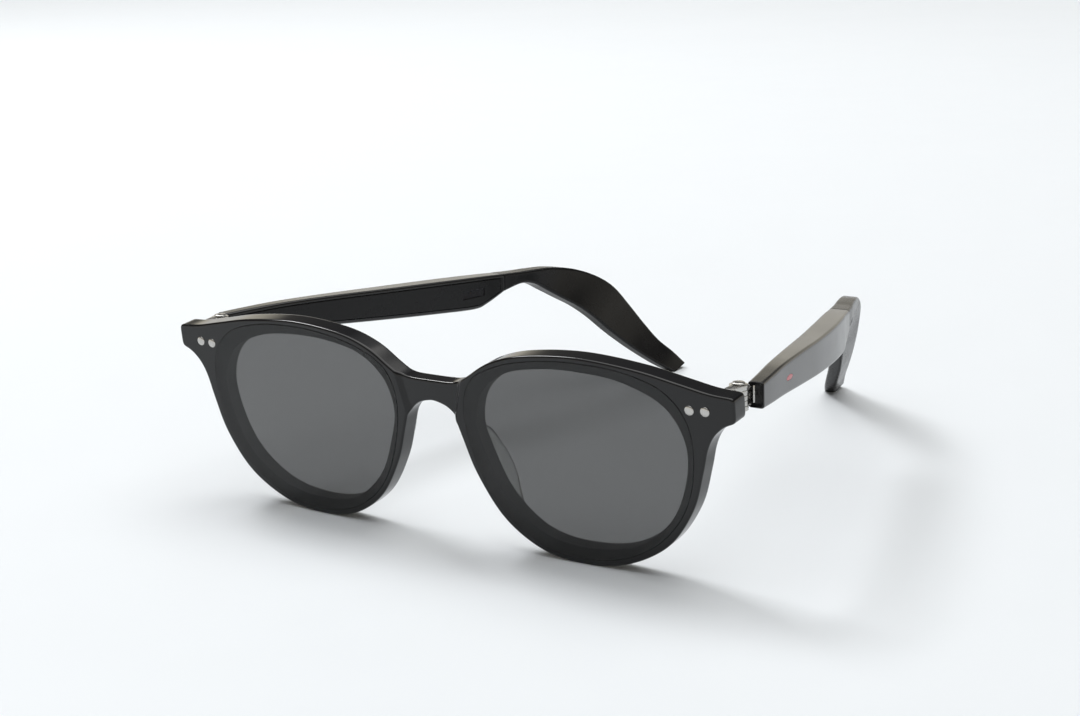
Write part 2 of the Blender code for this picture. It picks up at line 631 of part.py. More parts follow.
def make_inside(side, tag, pivot):
    """The electronics of one temple. Returns the objects."""
    def place(p):
        return temple_to_world(p, side)

    materials = {"main_board": "board_green", "battery": "cell_foil",
                 "speaker_driver": "driver_black", "touch_flex": "flex_amber",
                 "antenna_flex": "flex_amber", "charging_coil": "coil_copper"}
    made = []
    for label, (centre, length, height, thickness, shift) in INSIDE_BLOCKS.items():
        solid = piece(f"{label}_{tag}", block(centre, length, height, thickness, shift, 0.2))
        made.append(finish(solid, materials[label], place, pivot))
    for label, (centre, length, height, thickness, gap) in WALL_SHEETS.items():
        shift = station_at(centre)[5] / 2 - WALL - gap - thickness / 2
        solid = piece(f"{label}_{tag}", block(centre, length, height, thickness, shift, 0.05))
        if label == "charging_coil":
            combine(solid, [piece("window", block(centre, *COIL_WINDOW, 2.0, shift, 0.05))],
                    "DIFFERENCE")
        made.append(finish(solid, materials[label], place, pivot))
    for label, (centre, length, height) in BOTTOM_PORTS.items():
        half = (station_at(centre)[1] - station_at(centre)[3]) / 2
        mesh = block(centre, length - 2 * FIT_GAP, height, PORT_WIDTH - 2 * FIT_GAP, 0.0, 0.05)
        solid = piece(f"{label}_{tag}", mapped(mesh, lambda p: p - Vector((0, 0, half - WALL / 2))))
        made.append(finish(solid, "woven_steel", place, pivot))
        if label == "microphone_mesh":
            capsule = block(centre, *MICROPHONE_SIZE, 0.0, 0.1)
            drop = half - WALL - MICROPHONE_SIZE[1] / 2 - 0.3
            solid = piece(f"microphone_{tag}", mapped(capsule, lambda p: p - Vector((0, 0, drop))))
            made.append(finish(solid, "cell_foil", place, pivot))
    centre, length, height = SOUND_OUTLET
    shift = COVER_THICKNESS / 2 - station_at(centre)[5] / 2
    solid = piece(f"speaker_mesh_{tag}", block(centre, length, height, 0.4, shift, 0.05))
    made.append(finish(solid, "woven_steel", place, pivot))
    return made


# ---------------------------------------------------------------- the whole object

def main():
    for obj in list(bpy.data.objects):
        bpy.data.objects.remove(obj)
    make_front_frame()
    for side, tag in ((1, "left"), (-1, "right")):
        middle = Vector((0, 0, KNUCKLE_BOTTOM + HINGE_HEIGHT / 2))
        pivot = temple_to_world(PIN + middle, side)
        make_lens(side, f"lens_{tag}")
        make_nose_pad(side, f"nose_pad_{tag}")
        for where, place in RIVET_PLACES.items():
            make_rivet(side, f"rivet_{where}_{tag}", place)
        make_front_leaf(side, f"hinge_front_leaf_{tag}")
        make_pin(side, f"hinge_screw_{tag}")
        moving = [make_temple_leaf(side, f"hinge_temple_leaf_{tag}", pivot),
                  make_case(side, f"temple_case_{tag}", pivot, side > 0),
                  make_cover(side, f"temple_cover_{tag}", pivot),
                  make_tip(side, f"ear_tip_{tag}", pivot),
                  make_core(side, f"tip_core_{tag}", pivot)]
        for where, along in TONGUE_SCREWS.items():
            moving.append(make_tongue_screw(side, f"leaf_screw_{where}_{tag}", pivot, along))
        moving += make_inside(side, tag, pivot)
        if side > 0:
            window = piece("status_light", light_window(0.0, 0.8))
            moving.append(finish(window, "light_window", temple_to_world, pivot))
        fold = bpy.data.objects.new(f"fold_axis_{tag}", None)
        fold.location = pivot * MM
        bpy.context.scene.collection.objects.link(fold)
        for obj in moving:
            obj.parent = fold
            obj.location = Vector((0, 0, 0))
    bpy.context.view_layer.update()


main()
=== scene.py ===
"""Smart sunglasses with audio in the temples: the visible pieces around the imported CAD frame.

Shapes are drawn in millimetres, from the front plane back and from just under the table up, and
are put in their place in metres. The wearer looks towards -Y, so +X is the wearer's left.
"""

import json
from math import cos, pi, radians, sin, tan

import bmesh
import bpy
import numpy as np
from bpy.props import FloatProperty, FloatVectorProperty, IntProperty, PointerProperty
from mathutils import Matrix, Vector
from mathutils.geometry import delaunay_2d_cdt

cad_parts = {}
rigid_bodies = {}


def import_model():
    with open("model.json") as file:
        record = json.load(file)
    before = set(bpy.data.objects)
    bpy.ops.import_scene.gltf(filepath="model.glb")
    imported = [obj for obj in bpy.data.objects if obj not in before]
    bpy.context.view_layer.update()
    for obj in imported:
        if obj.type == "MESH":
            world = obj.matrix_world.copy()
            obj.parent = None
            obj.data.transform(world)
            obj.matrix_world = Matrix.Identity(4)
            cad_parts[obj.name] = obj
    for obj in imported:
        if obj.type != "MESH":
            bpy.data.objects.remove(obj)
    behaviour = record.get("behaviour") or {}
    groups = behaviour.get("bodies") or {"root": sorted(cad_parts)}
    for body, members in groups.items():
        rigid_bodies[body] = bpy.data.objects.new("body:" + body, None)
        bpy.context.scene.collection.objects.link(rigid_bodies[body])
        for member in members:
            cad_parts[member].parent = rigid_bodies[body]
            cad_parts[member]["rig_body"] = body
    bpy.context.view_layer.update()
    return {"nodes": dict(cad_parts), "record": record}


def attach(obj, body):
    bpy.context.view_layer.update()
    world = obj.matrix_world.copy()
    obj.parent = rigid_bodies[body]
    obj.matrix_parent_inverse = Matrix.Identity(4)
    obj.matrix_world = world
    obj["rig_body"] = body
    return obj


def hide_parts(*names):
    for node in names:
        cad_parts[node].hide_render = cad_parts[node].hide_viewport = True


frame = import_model()

bl_info = {
    "name": "Smart Sunglasses",
    "version": (1, 0, 0),
    "blender": (4, 5, 0),
    "location": "3D View > Sidebar > Glasses",
    "description": "Builds the visible pieces and finishes of audio sunglasses on their CAD frame",
    "category": "Object",
}

MM = 0.001
SIDES = {"left": 1.0, "right": -1.0}
FIT_GAP = 0.1

# Where the drawing stands in the row frame.
ORIGIN = Vector((0.0, 74.05, 0.2))
LENS_HEIGHT = 23.16
FRONT_LEAN = radians(5.2)
FRONT_WRAP = radians(1.8)
WRAP_START = 8.0

# The front's half outlines (across, up) on the +X side.
FRONT_TOP = [(0, 13.1), (6.3, 13.3), (9.6, 14.9), (15.5, 18.7), (23.5, 21.2), (36.5, 22.3),
             (50.0, 21.2), (60.0, 19.3), (66.5, 18.0), (72.0, 17.6)]
FRONT_BOTTOM = [(72.0, 12.4), (69.6, 11.5), (67.0, 9.1), (65.4, 5.8), (64.2, 1.0), (61.4, -7.6),
                (55.2, -16.2), (45.5, -21.7), (35.5, -23.2), (25.5, -21.8), (16.6, -16.0),
                (10.6, -6.8), (7.6, 1.4), (6.2, 5.2), (3.6, 7.6), (0, 8.6)]
LENS_EDGE = [(8.9, 6.5), (11.2, 14.4), (18.4, 18.5), (27.5, 20.5), (37.0, 21.1), (47.5, 20.3),
             (56.5, 17.3), (61.5, 11.0), (62.2, 1.5), (59.6, -7.8), (53.6, -15.3), (44.5, -20.4),
             (34.5, -21.8), (24.5, -19.8), (16.4, -13.8), (11.4, -5.0)]
OPENING_EDGE = [(10.9, 5.0), (13.0, 11.8), (19.0, 16.6), (27.5, 18.5), (37.0, 18.8), (47.0, 17.6),
                (56.0, 13.5), (60.2, 6.0), (59.4, -3.0), (55.0, -11.8), (46.0, -18.1),
                (34.5, -19.8), (24.5, -17.8), (16.6, -10.8), (12.4, -1.6)]
FRONT_THICKNESS = 4.8
LENS_THICKNESS, LENS_PROUD, LENS_GAP = 1.2, 0.1, 0.15
# The gap drawn round a lens, closer than the CAD's, and the rounding of its back edge.
LENS_FIT, LENS_BACK_ROUND = 0.06, 0.08
SEAT_FLOOR = LENS_THICKNESS - LENS_PROUD + LENS_GAP

# Roundings of the front's other edges, and flat bands beside roundings that keep faces flat.
BACK_ROUND, OPENING_ROUND, OPENING_BACK_ROUND, SEAT_ROUND = 0.6, 0.12, 0.5, 0.06
FACE_BAND, WALL_BAND, SEAT_BAND, LENS_BACK_BAND = 0.12, 0.15, 0.22, 0.25
MILLED = 1      # the front's second material, on the walls of the openings

# The bridge's face: half width at one height, how much it widens upwards, and its flank.
BRIDGE_WIDTH, BRIDGE_WIDTH_AT, BRIDGE_SPREAD = 5.0, 2.0, 0.2375
FLANK_OUT, FLANK_IN = 0.84, -0.3

RIVET_PLACES = [(62.2, 14.2), (65.6, 14.3)]
RIVET_HEAD = (1.05, 0.35)
RIVET_SHANK, RIVET_HOLE = 0.6, 0.7
# A head reaches this far below its point, and its shank starts that far below it.
HEAD_RIM, SHANK_DROP = 0.02, 0.03
LEAF_THICKNESS = 1.0

# Nose pads: (up, height, sideways flare) along each pad, and its inner edge (across, up).
PAD_STATIONS = [(3.0, 0.8, 0.2), (1.5, 1.6, 0.6), (-1.0, 2.4, 1.1), (-4.5, 2.9, 1.7),
                (-8.5, 2.4, 1.7), (-12.0, 1.3, 0.8), (-15.0, 0.5, 0.2)]
PAD_INNER_EDGE = [(7.6, 3.0), (8.05, 1.5), (8.8, -1.0), (10.1, -4.5), (11.95, -8.5), (13.9, -12.0),
                  (15.9, -15.0)]
PAD_WIDTH, PAD_END_ROWS = 2.8, 5

# Hinge screw, upright at the pin.
PIN = Vector((68.0, 10.0, 0.0))
PIN_RADIUS = 0.75
HINGE_LOW, HINGE_TOP = 35.95, 41.1
TONGUE_CENTRE, TONGUE_SIZE = 19.5, (11.2, 2.8, 1.1)
TONGUE_SCREWS = (-1.3, 2.9)
NOTCHES = [((66.0, 69.95), (12.0, 14.55), (36.33, 40.27)),
           ((68.6, 70.55), (13.75, 14.55), (36.33, 40.27))]
SCREW_RADIUS, SCREW_REACH = 0.45, 1.35
SCREW_HEAD = (0.85, 0.28)
# Hinge screw's (radius, height) from its end up its head, and its slot's size and height.
PIN_PROFILE = [(0.5, HINGE_LOW - 0.2), (0.68, HINGE_LOW - 0.1), (PIN_RADIUS, HINGE_LOW),
               (PIN_RADIUS, HINGE_TOP + 0.06), (1.3, HINGE_TOP + 0.06), (1.35, HINGE_TOP + 0.12),
               (1.35, HINGE_TOP + 0.34), (1.28, HINGE_TOP + 0.44), (1.1, HINGE_TOP + 0.52)]
PIN_SLOT, PIN_SLOT_AT = (4.0, 0.3, 0.6), Vector((0, 0, HINGE_TOP + 0.6))
LEAF_BEVEL = 0.08

# Temple sections: (y top, z top, y bottom, z bottom, outer x, thickness).
CASE_STATIONS = [(13.3, 41.0, 13.3, 35.6, 71.9, 3.6), (20, 40.9, 20, 34.9, 70.6, 3.8),
                 (30, 40.6, 30, 33.9, 68.5, 4.2), (45, 39.6, 45, 32.1, 65.4, 4.9),
                 (60, 38.4, 60, 30.4, 62.2, 5.6), (75, 37.3, 75, 28.9, 58.5, 6.0),
                 (86, 36.5, 86, 28.0, 55.3, 5.9), (90, 36.2, 90, 28.7, 54.0, 5.7),
                 (96, 35.7, 96, 31.0, 52.1, 5.3)]
TIP_STATIONS = [(96.2, 35.7, 96.2, 31.1, 52.0, 5.3), (102, 35.3, 102, 32.1, 50.1, 5.0),
                (107, 35.1, 106, 31.3, 48.3, 4.7), (113, 34.6, 110, 28.7, 46.3, 4.4),
                (120, 32.9, 113.8, 25.9, 43.7, 4.2), (127, 29.8, 117.4, 23.2, 41.1, 4.0),
                (132, 26.0, 121.4, 19.6, 38.7, 3.8), (136, 20.3, 126, 14.8, 36.2, 3.7),
                (139.5, 14.4, 130.8, 10.2, 33.5, 3.6), (142.7, 9.3, 135, 6.4, 30.8, 3.5),
                (146.2, 5.4, 139.3, 2.9, 28.2, 3.4), (149.4, 1.6, 143.4, 0.2, 26.1, 3.2)]
TIP_DOME = (0.36, -0.6, 0.4, 0.1, -0.3, -0.6)     # from the tip's last section to its end
DOME_PULL, DOME_RINGS = 0.9, 5
JOINT_GAP, END_BAND = 0.03, 0.12
WALL, COVER_THICKNESS, COVER_GAP = 0.9, 0.9, 0.12
CAVITY = (14.8, 94.6)
PORTS = {"microphone_mesh": (27.0, 1.8, 0.35), "vent_mesh": (69.0, 5.0, 0.35)}
PORT_WIDTH = 1.3
WIRE_RISE = 1.05            # how far a woven wire swings, in wire radii
SOUND_OUTLET = (86.5, 7.0, 1.8)
LIGHT_PLACE, LIGHT_SIZE = (32.0, -0.1), (5.0, 1.1)


# The camera's aim, the window's lamp, the ceiling's glow, and the room's strength and colours
# by the sine of the height angle.
AIM_POINT = Vector((-12.4, -13.8, 25.1)) * MM
WINDOW_PLACE, WINDOW_AIM, WINDOW_SIZE, WINDOW_POWER = (-1.2, 0.35, 1.5), (0, 0, 0.02), 0.6, 16.0
GLOW_STRENGTH, GLOW_SPREAD, GLOW_LEAN = 1.15, radians(60), radians(-12)
SKY_STRENGTH = 1.2
SKY = [(0.0, "E6E6E5"), (0.05, "E9E7E2"), (0.17, "F2EBD9"), (0.28, "575654"), (0.62, "5C5C5E"),
       (0.90, "E4E6E8")]


# ---------------------------------------------------------------- user's sizes and colours

class FrontSizes(bpy.types.PropertyGroup):
    """Sizes of the front and its lenses."""
    edge_round: FloatProperty(name="Edge rounding", description="Radius of the front's edges",
                              default=0.5 * MM, min=0.1 * MM, max=0.6 * MM, unit="LENGTH")
    bridge_setback: FloatProperty(name="Bridge set-back",
                                  description="How far the bridge's face lies behind the rims",
                                  default=0.9 * MM, min=0.0, max=2.0 * MM, unit="LENGTH")
    spacing: FloatProperty(name="Outline spacing", description="Distance between outline points",
                           default=0.35 * MM, min=0.1 * MM, max=2.0 * MM, unit="LENGTH")
    lens_edge: FloatProperty(name="Lens edge", description="Radius of the lens's front edge",
                             default=0.12 * MM, min=0.05 * MM, max=0.5 * MM, unit="LENGTH")


class TempleSizes(bpy.types.PropertyGroup):
    """Sizes of the temples and ear tips."""
    corner_round: FloatProperty(name="Corner rounding",
                                description="Radius along the temple's long edges",
                                default=0.7 * MM, min=0.2 * MM, max=1.5 * MM, unit="LENGTH")
    end_round: FloatProperty(name="End rounding", description="Radius of the moulding's end edges",
                             default=0.22 * MM, min=0.05 * MM, max=0.5 * MM, unit="LENGTH")
    rows: IntProperty(name="Rows", description="Sections between two drawn ones",
                      default=6, min=2, max=16)
    wire: FloatProperty(name="Mesh wire", description="Radius of the wire in the woven meshes",
                        default=0.045 * MM, min=0.01 * MM, max=0.2 * MM, unit="LENGTH")
    pitch: FloatProperty(name="Mesh pitch", description="Distance between the woven wires",
                         default=0.22 * MM, min=0.05 * MM, max=1.0 * MM, unit="LENGTH")


class Finishes(bpy.types.PropertyGroup):
    """Colours of the object's finishes and of the stage."""
    acetate: FloatVectorProperty(name="Acetate", description="Colour of the front",
                                 subtype="COLOR", default=(0.0030, 0.0030, 0.0036))
    lens: FloatVectorProperty(name="Lens", description="Tint of the lenses",
                              subtype="COLOR", default=(0.0130, 0.0138, 0.0142))
    nylon: FloatVectorProperty(name="Nylon", description="Colour of the temples",
                               subtype="COLOR", default=(0.0050, 0.0050, 0.0056))
    steel: FloatVectorProperty(name="Steel", description="Colour of hinges and rivets",
                               subtype="COLOR", default=(0.52, 0.51, 0.49))
    floor: FloatVectorProperty(name="Floor", description="Colour of the stage's floor",
                               subtype="COLOR", default=(0.80, 0.83, 0.86))


class Studio(bpy.types.PropertyGroup):
    """Camera and light of the stage."""
    azimuth: FloatProperty(name="Azimuth", description="Camera's turn to the object's left",
                           default=radians(33.98), subtype="ANGLE")
    elevation: FloatProperty(name="Elevation", description="Camera's height angle",
                             default=radians(14.65), subtype="ANGLE")
    roll: FloatProperty(name="Roll", description="Camera's sideways tilt",
                        default=radians(2.2), subtype="ANGLE")
    distance: FloatProperty(name="Distance", description="From the camera to the point it aims at",
                            default=0.470, unit="LENGTH")
    focal: FloatProperty(name="Focal length", description="On a 36 mm wide sensor, in millimetres",
                         default=65.13, min=20.0, max=200.0)
    light: FloatProperty(name="Light", description="Strength of all lamps together",
                         default=1.0, min=0.0, max=5.0)


# ---------------------------------------------------------------- outlines

def curve_through(points, steps, closed=False):
    """Points on a smooth Catmull-Rom curve through the given ones."""
    count = len(points)
    out = []
    for i in range(count if closed else count - 1):
        p1, p2 = Vector(points[i]), Vector(points[(i + 1) % count])
        p0 = Vector(points[i - 1]) if closed or i > 0 else 2 * p1 - p2
        last = 2 * p2 - p1
        p3 = Vector(points[(i + 2) % count]) if closed or i + 2 < count else last
        for k in range(steps):
            t = k / steps
            out.append(0.5 * (2 * p1 + (p2 - p0) * t + (2 * p0 - 5 * p1 + 4 * p2 - p3) * t * t
                              + (3 * p1 - p0 - 3 * p2 + p3) * t ** 3))
    if not closed:
        out.append(Vector(points[-1]))
    return out


def evenly_spaced(outline, spacing):
    """The closed outline with points at equal distances along it."""
    points = np.array([tuple(p) for p in outline] + [tuple(outline[0])])
    along = np.concatenate([[0.0], np.cumsum(np.linalg.norm(np.diff(points, axis=0), axis=1))])
    count = max(12, int(round(along[-1] / spacing)))
    places = np.arange(count) * along[-1] / count
    return [Vector((np.interp(s, along, points[:, 0]), np.interp(s, along, points[:, 1])))
            for s in places]


def softened(outline, passes):
    """The closed outline with its corners rounded by averaging neighbours."""
    for _ in range(passes):
        outline = [(outline[i - 1] + 2 * p + outline[(i + 1) % len(outline)]) / 4
                   for i, p in enumerate(outline)]
    return outline


def inset(outline, distance):
    """The closed outline moved inwards by the distance (outwards where it is negative)."""
    count = len(outline)
    area = sum(outline[i].cross(outline[(i + 1) % count]) for i in range(count))
    turn = 1.0 if area > 0 else -1.0
    out = []
    for i, point in enumerate(outline):
        before = (point - outline[i - 1]).normalized()
        after = (outline[(i + 1) % count] - point).normalized()
        normal = Vector((-before.y - after.y, before.x + after.x)) * turn
        normal.normalize()
        slope = normal.dot(Vector((-after.y, after.x)) * turn)
        out.append(point + normal * distance / max(slope, 0.5))
    return out


def is_inside(points, loop):
    """For each point, whether it lies inside the closed loop."""
    points, loop = np.array(points), np.array([tuple(p) for p in loop])
    x, y = points[:, 0:1], points[:, 1:2]
    x0, y0 = loop[:, 0], loop[:, 1]
    x1, y1 = np.roll(x0, -1), np.roll(y0, -1)
    crosses = ((y0 > y) != (y1 > y)) & (x < (x1 - x0) * (y - y0) / (y1 - y0 + 1e-12) + x0)
    return crosses.sum(axis=1) % 2 == 1


def front_outline(spacing):
    """The whole front's silhouette."""
    half = curve_through(FRONT_TOP, 8) + curve_through(FRONT_BOTTOM, 8)
    outline = half + [Vector((-p.x, p.y)) for p in reversed(half[1:-1])]
    return softened(evenly_spaced(outline, spacing), 8)


def side_outline(points, side, spacing):
    """A closed outline on one side of the front."""
    outline = evenly_spaced(curve_through(points, 12, closed=True), spacing)
    return [Vector((p.x * side, p.y)) for p in outline]


# ---------------------------------------------------------------- places

def on_front(across, up, depth):
    """A point of the front's own plane, in metres in the row frame."""
    reach = abs(across)
    if reach < WRAP_START:
        depth += tan(FRONT_WRAP) * reach ** 2 / (2 * WRAP_START)
    else:
        depth += tan(FRONT_WRAP) * (reach - WRAP_START / 2)
    lean, rise = sin(FRONT_LEAN), cos(FRONT_LEAN)
    return (Vector((across, depth * rise - up * lean, depth * lean + up * rise + LENS_HEIGHT))
            - ORIGIN) * MM


def on_temple(side):
    """Puts a point drawn on the +X temple in its place on either side, in metres."""
    return lambda p: (Vector((p[0] * side, p[1], p[2])) - ORIGIN) * MM


def smooth_stations(stations, steps):
    """More sections on smooth curves through the drawn ones."""
    tops = [curve_through([(row[0], row[k]) for row in stations], steps) for k in (1, 4, 5)]
    lower = curve_through([(row[2], row[3]) for row in stations], steps)
    return [(top.x, top.y, low.x, low.y, outer.y, wide.y)
            for top, low, outer, wide in zip(tops[0], lower, tops[1], tops[2])]


CASE_ROWS = smooth_stations(CASE_STATIONS, 8)


def row_between(first, second, share):
    return tuple(a + (b - a) * share for a, b in zip(first, second))


def station_at(y):
    """The casing's section at one depth."""
    for first, second in zip(CASE_ROWS, CASE_ROWS[1:]):
        if first[0] <= y <= second[0]:
            return row_between(first, second, (y - first[0]) / (second[0] - first[0]))
    return CASE_ROWS[-1]


def in_casing(point, centre, shift=0.0):
    """A point (towards the outer face, along, up) about the casing's middle at one depth."""
    row, ahead = station_at(centre), station_at(centre + 2.0)
    middle = Vector((row[4] - row[5] / 2, centre, (row[1] + row[3]) / 2))
    along = Vector((ahead[4] - row[4], 2.0, (ahead[1] + ahead[3]) / 2 - middle.z)).normalized()
    across = along.cross(Vector((0, 0, 1))).normalized()
    return middle + across * (point[0] + shift) + along * point[1] + across.cross(along) * point[2]


def half_height(centre):
    row = station_at(centre)
    return (row[1] - row[3]) / 2


# ---------------------------------------------------------------- meshes

def quarter(radius, steps=5):
    """(sideways, depth) points of a quarter round that starts flat and ends upright."""
    return [(radius - radius * sin(pi / 2 * k / steps), radius - radius * cos(pi / 2 * k / steps))
            for k in range(steps + 1)]


def join_loops(bm, loops):
    """Quads between loops of vertices of equal count."""
    for low, high in zip(loops, loops[1:]):
        for i in range(len(low)):
            j = (i + 1) % len(low)
            bm.faces.new((low[i], low[j], high[j], high[i]))


def loft(rings, caps=True):
    """A solid through rings of equal point count."""
    bm = bmesh.new()
    loops = [[bm.verts.new(point) for point in ring] for ring in rings]
    join_loops(bm, loops)
    if caps:
        bm.faces.new(loops[0][::-1])
        bm.faces.new(loops[-1])
    return bm


def turned(profile, sides=48):
    """A solid of revolution about Z from (radius, height) pairs, flat at both ends."""
    return loft([[Vector((r * cos(2 * pi * k / sides), r * sin(2 * pi * k / sides), z))
                  for k in range(sides)] for r, z in profile])


def block(size, chamfer=0.05):
    """A block of (thickness, length, height) about its own middle."""
    half = [value / 2 for value in size]
    rings = []
    for x, trim in ((-half[0], chamfer), (chamfer - half[0], 0), (half[0] - chamfer, 0),
                    (half[0], chamfer)):
        y, z = half[1] - trim, half[2] - trim
        rings.append([Vector((x, *corner)) for corner in ((-y, -z), (y, -z), (y, z), (-y, z))])
    return loft(rings)


def moved(bm, place):
    """The mesh with every point sent through the function."""
    for vert in bm.verts:
        vert.co = place(vert.co)
    return bm


def outward(bm):
    bm.normal_update()
    bmesh.ops.recalc_face_normals(bm, faces=bm.faces)


def linked(name, data):
    """A new object in the scene."""
    obj = bpy.data.objects.new(name, data)
    bpy.context.scene.collection.objects.link(obj)
    return obj


def mesh_of(name, bm):
    """The finished mesh of a bmesh, which is freed."""
    mesh = bpy.data.meshes.new(name)
    bm.to_mesh(mesh)
    bm.free()
    return mesh


def bmesh_of(mesh):
    bm = bmesh.new()
    bm.from_mesh(mesh)
    return bm


def scratch(bm):
    """An object to cut with or to be cut."""
    outward(bm)
    return linked("scratch", mesh_of("scratch", bm))


def applied(obj):
    """The object's mesh with its modifiers applied."""
    bpy.context.view_layer.update()
    graph = bpy.context.evaluated_depsgraph_get()
    return bpy.data.meshes.new_from_object(obj.evaluated_get(graph))


def cut(bm, cutters):
    """The solid with the cutters taken out of it, exactly."""
    solid = scratch(bm)
    for cutter in cutters:
        tool = scratch(cutter)
        modifier = solid.modifiers.new("cut", "BOOLEAN")
        modifier.operation, modifier.solver, modifier.object = "DIFFERENCE", "EXACT", tool
        mesh = applied(solid)
        solid.modifiers.clear()
        solid.data = mesh
        bpy.data.objects.remove(tool)
    result = bmesh_of(solid.data)
    bpy.data.objects.remove(solid)
    return result


def piece(name, bm, material, body, nodes, sharp=32.0):
    """A finished piece: smooth but for edges past the sharp angle, riding on its body."""
    bmesh.ops.remove_doubles(bm, verts=bm.verts, dist=1e-7)
    outward(bm)
    for face in bm.faces:
        face.smooth = True
    for edge in bm.edges:
        edge.smooth = not (edge.is_manifold and edge.calc_face_angle(0.0) > radians(sharp))
    obj = linked(name, mesh_of(name, bm))
    obj.data.materials.append(material)
    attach(obj, body)
    if nodes:
        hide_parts(*nodes)
    return obj


def fill_between(bm, loops, extra, place, margin=0.3):
    """Triangles inside the first loop and outside the others, through the extra points too."""
    coords, verts, edges = [], [], []
    for points, ring in loops:
        first, count = len(coords), len(points)
        coords += [Vector((p.x, p.y)) for p in points]
        verts += ring
        edges += [(first + i, first + (i + 1) % count) for i in range(count)]
    if extra:
        extra = np.array(extra)
        keep = is_inside(extra, loops[0][0])
        for points, _ in loops[1:]:
            keep &= ~is_inside(extra, points)
        border = np.array([tuple(c) for c in coords])
        for i in np.nonzero(keep)[0]:
            if np.min(np.linalg.norm(border - extra[i], axis=1)) > margin:
                point = Vector(extra[i])
                coords.append(point)
                verts.append(bm.verts.new(place(point)))
    found = delaunay_2d_cdt(coords, edges, [], 1, 1e-7)
    centres = [tuple(sum((found[0][i] for i in face), Vector((0, 0))) / 3) for face in found[2]]
    solid = is_inside(centres, loops[0][0])
    for points, _ in loops[1:]:
        solid &= ~is_inside(centres, points)
    for face, wanted in zip(found[2], solid):
        if wanted:
            bm.faces.new([verts[found[3][i][0]] for i in face])


def refined(node, name, bevel, material):
    """A bevelled, smooth copy of a machined CAD node, which it stands for."""
    bm = bmesh_of(frame["nodes"][node].data)
    bmesh.ops.remove_doubles(bm, verts=bm.verts, dist=2e-6)
    bmesh.ops.dissolve_limit(bm, angle_limit=radians(1.0), verts=bm.verts, edges=bm.edges)
    solid = scratch(bm)
    modifier = solid.modifiers.new("edges", "BEVEL")
    modifier.width, modifier.segments = bevel * MM, 2
    modifier.limit_method, modifier.angle_limit = "ANGLE", radians(35)
    bm = bmesh_of(applied(solid))
    bpy.data.objects.remove(solid)
    return piece(name, bm, material, frame["nodes"][node]["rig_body"], [node])


# ---------------------------------------------------------------- node trees

def add(tree, kind, inputs=None, **settings):
    """One node with its settings, its inputs set to values or joined to sockets or nodes.

    A node stands for its first output, and a list joins several to one input.
    """
    node = tree.nodes.new(kind)
    for key, value in settings.items():
        setattr(node, key, value)
    for key, value in (inputs or {}).items():
        for source in value if isinstance(value, list) else [value]:
            if isinstance(source, bpy.types.Node):
                source = source.outputs[0]
            if isinstance(source, bpy.types.NodeSocket):
                tree.links.new(source, node.inputs[key])
            else:
                node.inputs[key].default_value = source
    return node


def linear(colour):
    """Linear (r, g, b, 1) from an sRGB hex value such as "8A8D90"."""
    values = [int(colour[i:i + 2], 16) / 255 for i in (0, 2, 4)]
    return (*[v / 12.92 if v <= 0.04045 else ((v + 0.055) / 1.055) ** 2.4 for v in values], 1.0)


def surface(name, base, rough, pattern=None, bump=None, sockets=None):
    """A material: a colour or its pattern, a roughness range and a relief.

    pattern is a function that returns the colour socket; rough is (low, high, pitch in mm) of
    an even noise; bump is (pitch in mm, height in mm) of a fine relief; sockets are the
    shader's own inputs.
    """
    if name in bpy.data.materials:
        return bpy.data.materials[name]
    material = bpy.data.materials.new(name)
    material.use_nodes = True
    tree = material.node_tree
    shader = tree.nodes["Principled BSDF"]
    shader.inputs["Base Color"].default_value = base
    place = add(tree, "ShaderNodeTexCoord").outputs["Object"]
    low, high, pitch = rough
    grain = add(tree, "ShaderNodeTexNoise", {"Vector": place, "Scale": 1 / (pitch * MM),
                                             "Detail": 3.0, "Roughness": 0.6})
    spread = add(tree, "ShaderNodeMapRange", {"Value": grain.outputs["Fac"], "From Min": 0.3,
                                              "From Max": 0.7, "To Min": low, "To Max": high})
    tree.links.new(spread.outputs["Result"], shader.inputs["Roughness"])
    if pattern:
        tree.links.new(pattern(tree, place, base), shader.inputs["Base Color"])
    if bump:
        fine = add(tree, "ShaderNodeTexNoise", {"Vector": place, "Scale": 1 / (bump[0] * MM),
                                                "Detail": 0.0})
        relief = add(tree, "ShaderNodeBump", {"Height": fine.outputs["Fac"], "Strength": 0.6,
                                              "Distance": bump[1] * MM})
        tree.links.new(relief.outputs["Normal"], shader.inputs["Normal"])
    for key, value in (sockets or {}).items():
        shader.inputs[key].default_value = value
    return material


def mottled(strength, pitch):
    """A pattern: the base colour varied a little, light and dark, at the pitch in mm."""
    def pattern(tree, place, base):
        cloud = add(tree, "ShaderNodeTexNoise", {"Vector": place, "Scale": 1 / (pitch * MM)})
        return add(tree, "ShaderNodeMix", {
            "Factor": cloud.outputs["Fac"],
            "A": (*[c * (1 - strength) for c in base[:3]], 1.0),
            "B": (*[c * (1 + strength) for c in base[:3]], 1.0)},
            data_type="RGBA").outputs["Result"]
    return pattern


def fine_hairs(tree, place, base):
    """A pattern: machining hairlines 0.25 mm apart and 2.5 mm long, coarse enough to show."""
    stretched = add(tree, "ShaderNodeMapping", {"Vector": place, "Scale": (4000, 4000, 400)})
    hairs = add(tree, "ShaderNodeTexNoise", {"Vector": stretched.outputs["Vector"], "Scale": 1.0})
    return add(tree, "ShaderNodeMix", {
        "Factor": hairs.outputs["Fac"], "A": (*[c * 0.86 for c in base[:3]], 1.0),
        "B": (*[min(1.0, c * 1.1) for c in base[:3]], 1.0)}, data_type="RGBA").outputs["Result"]


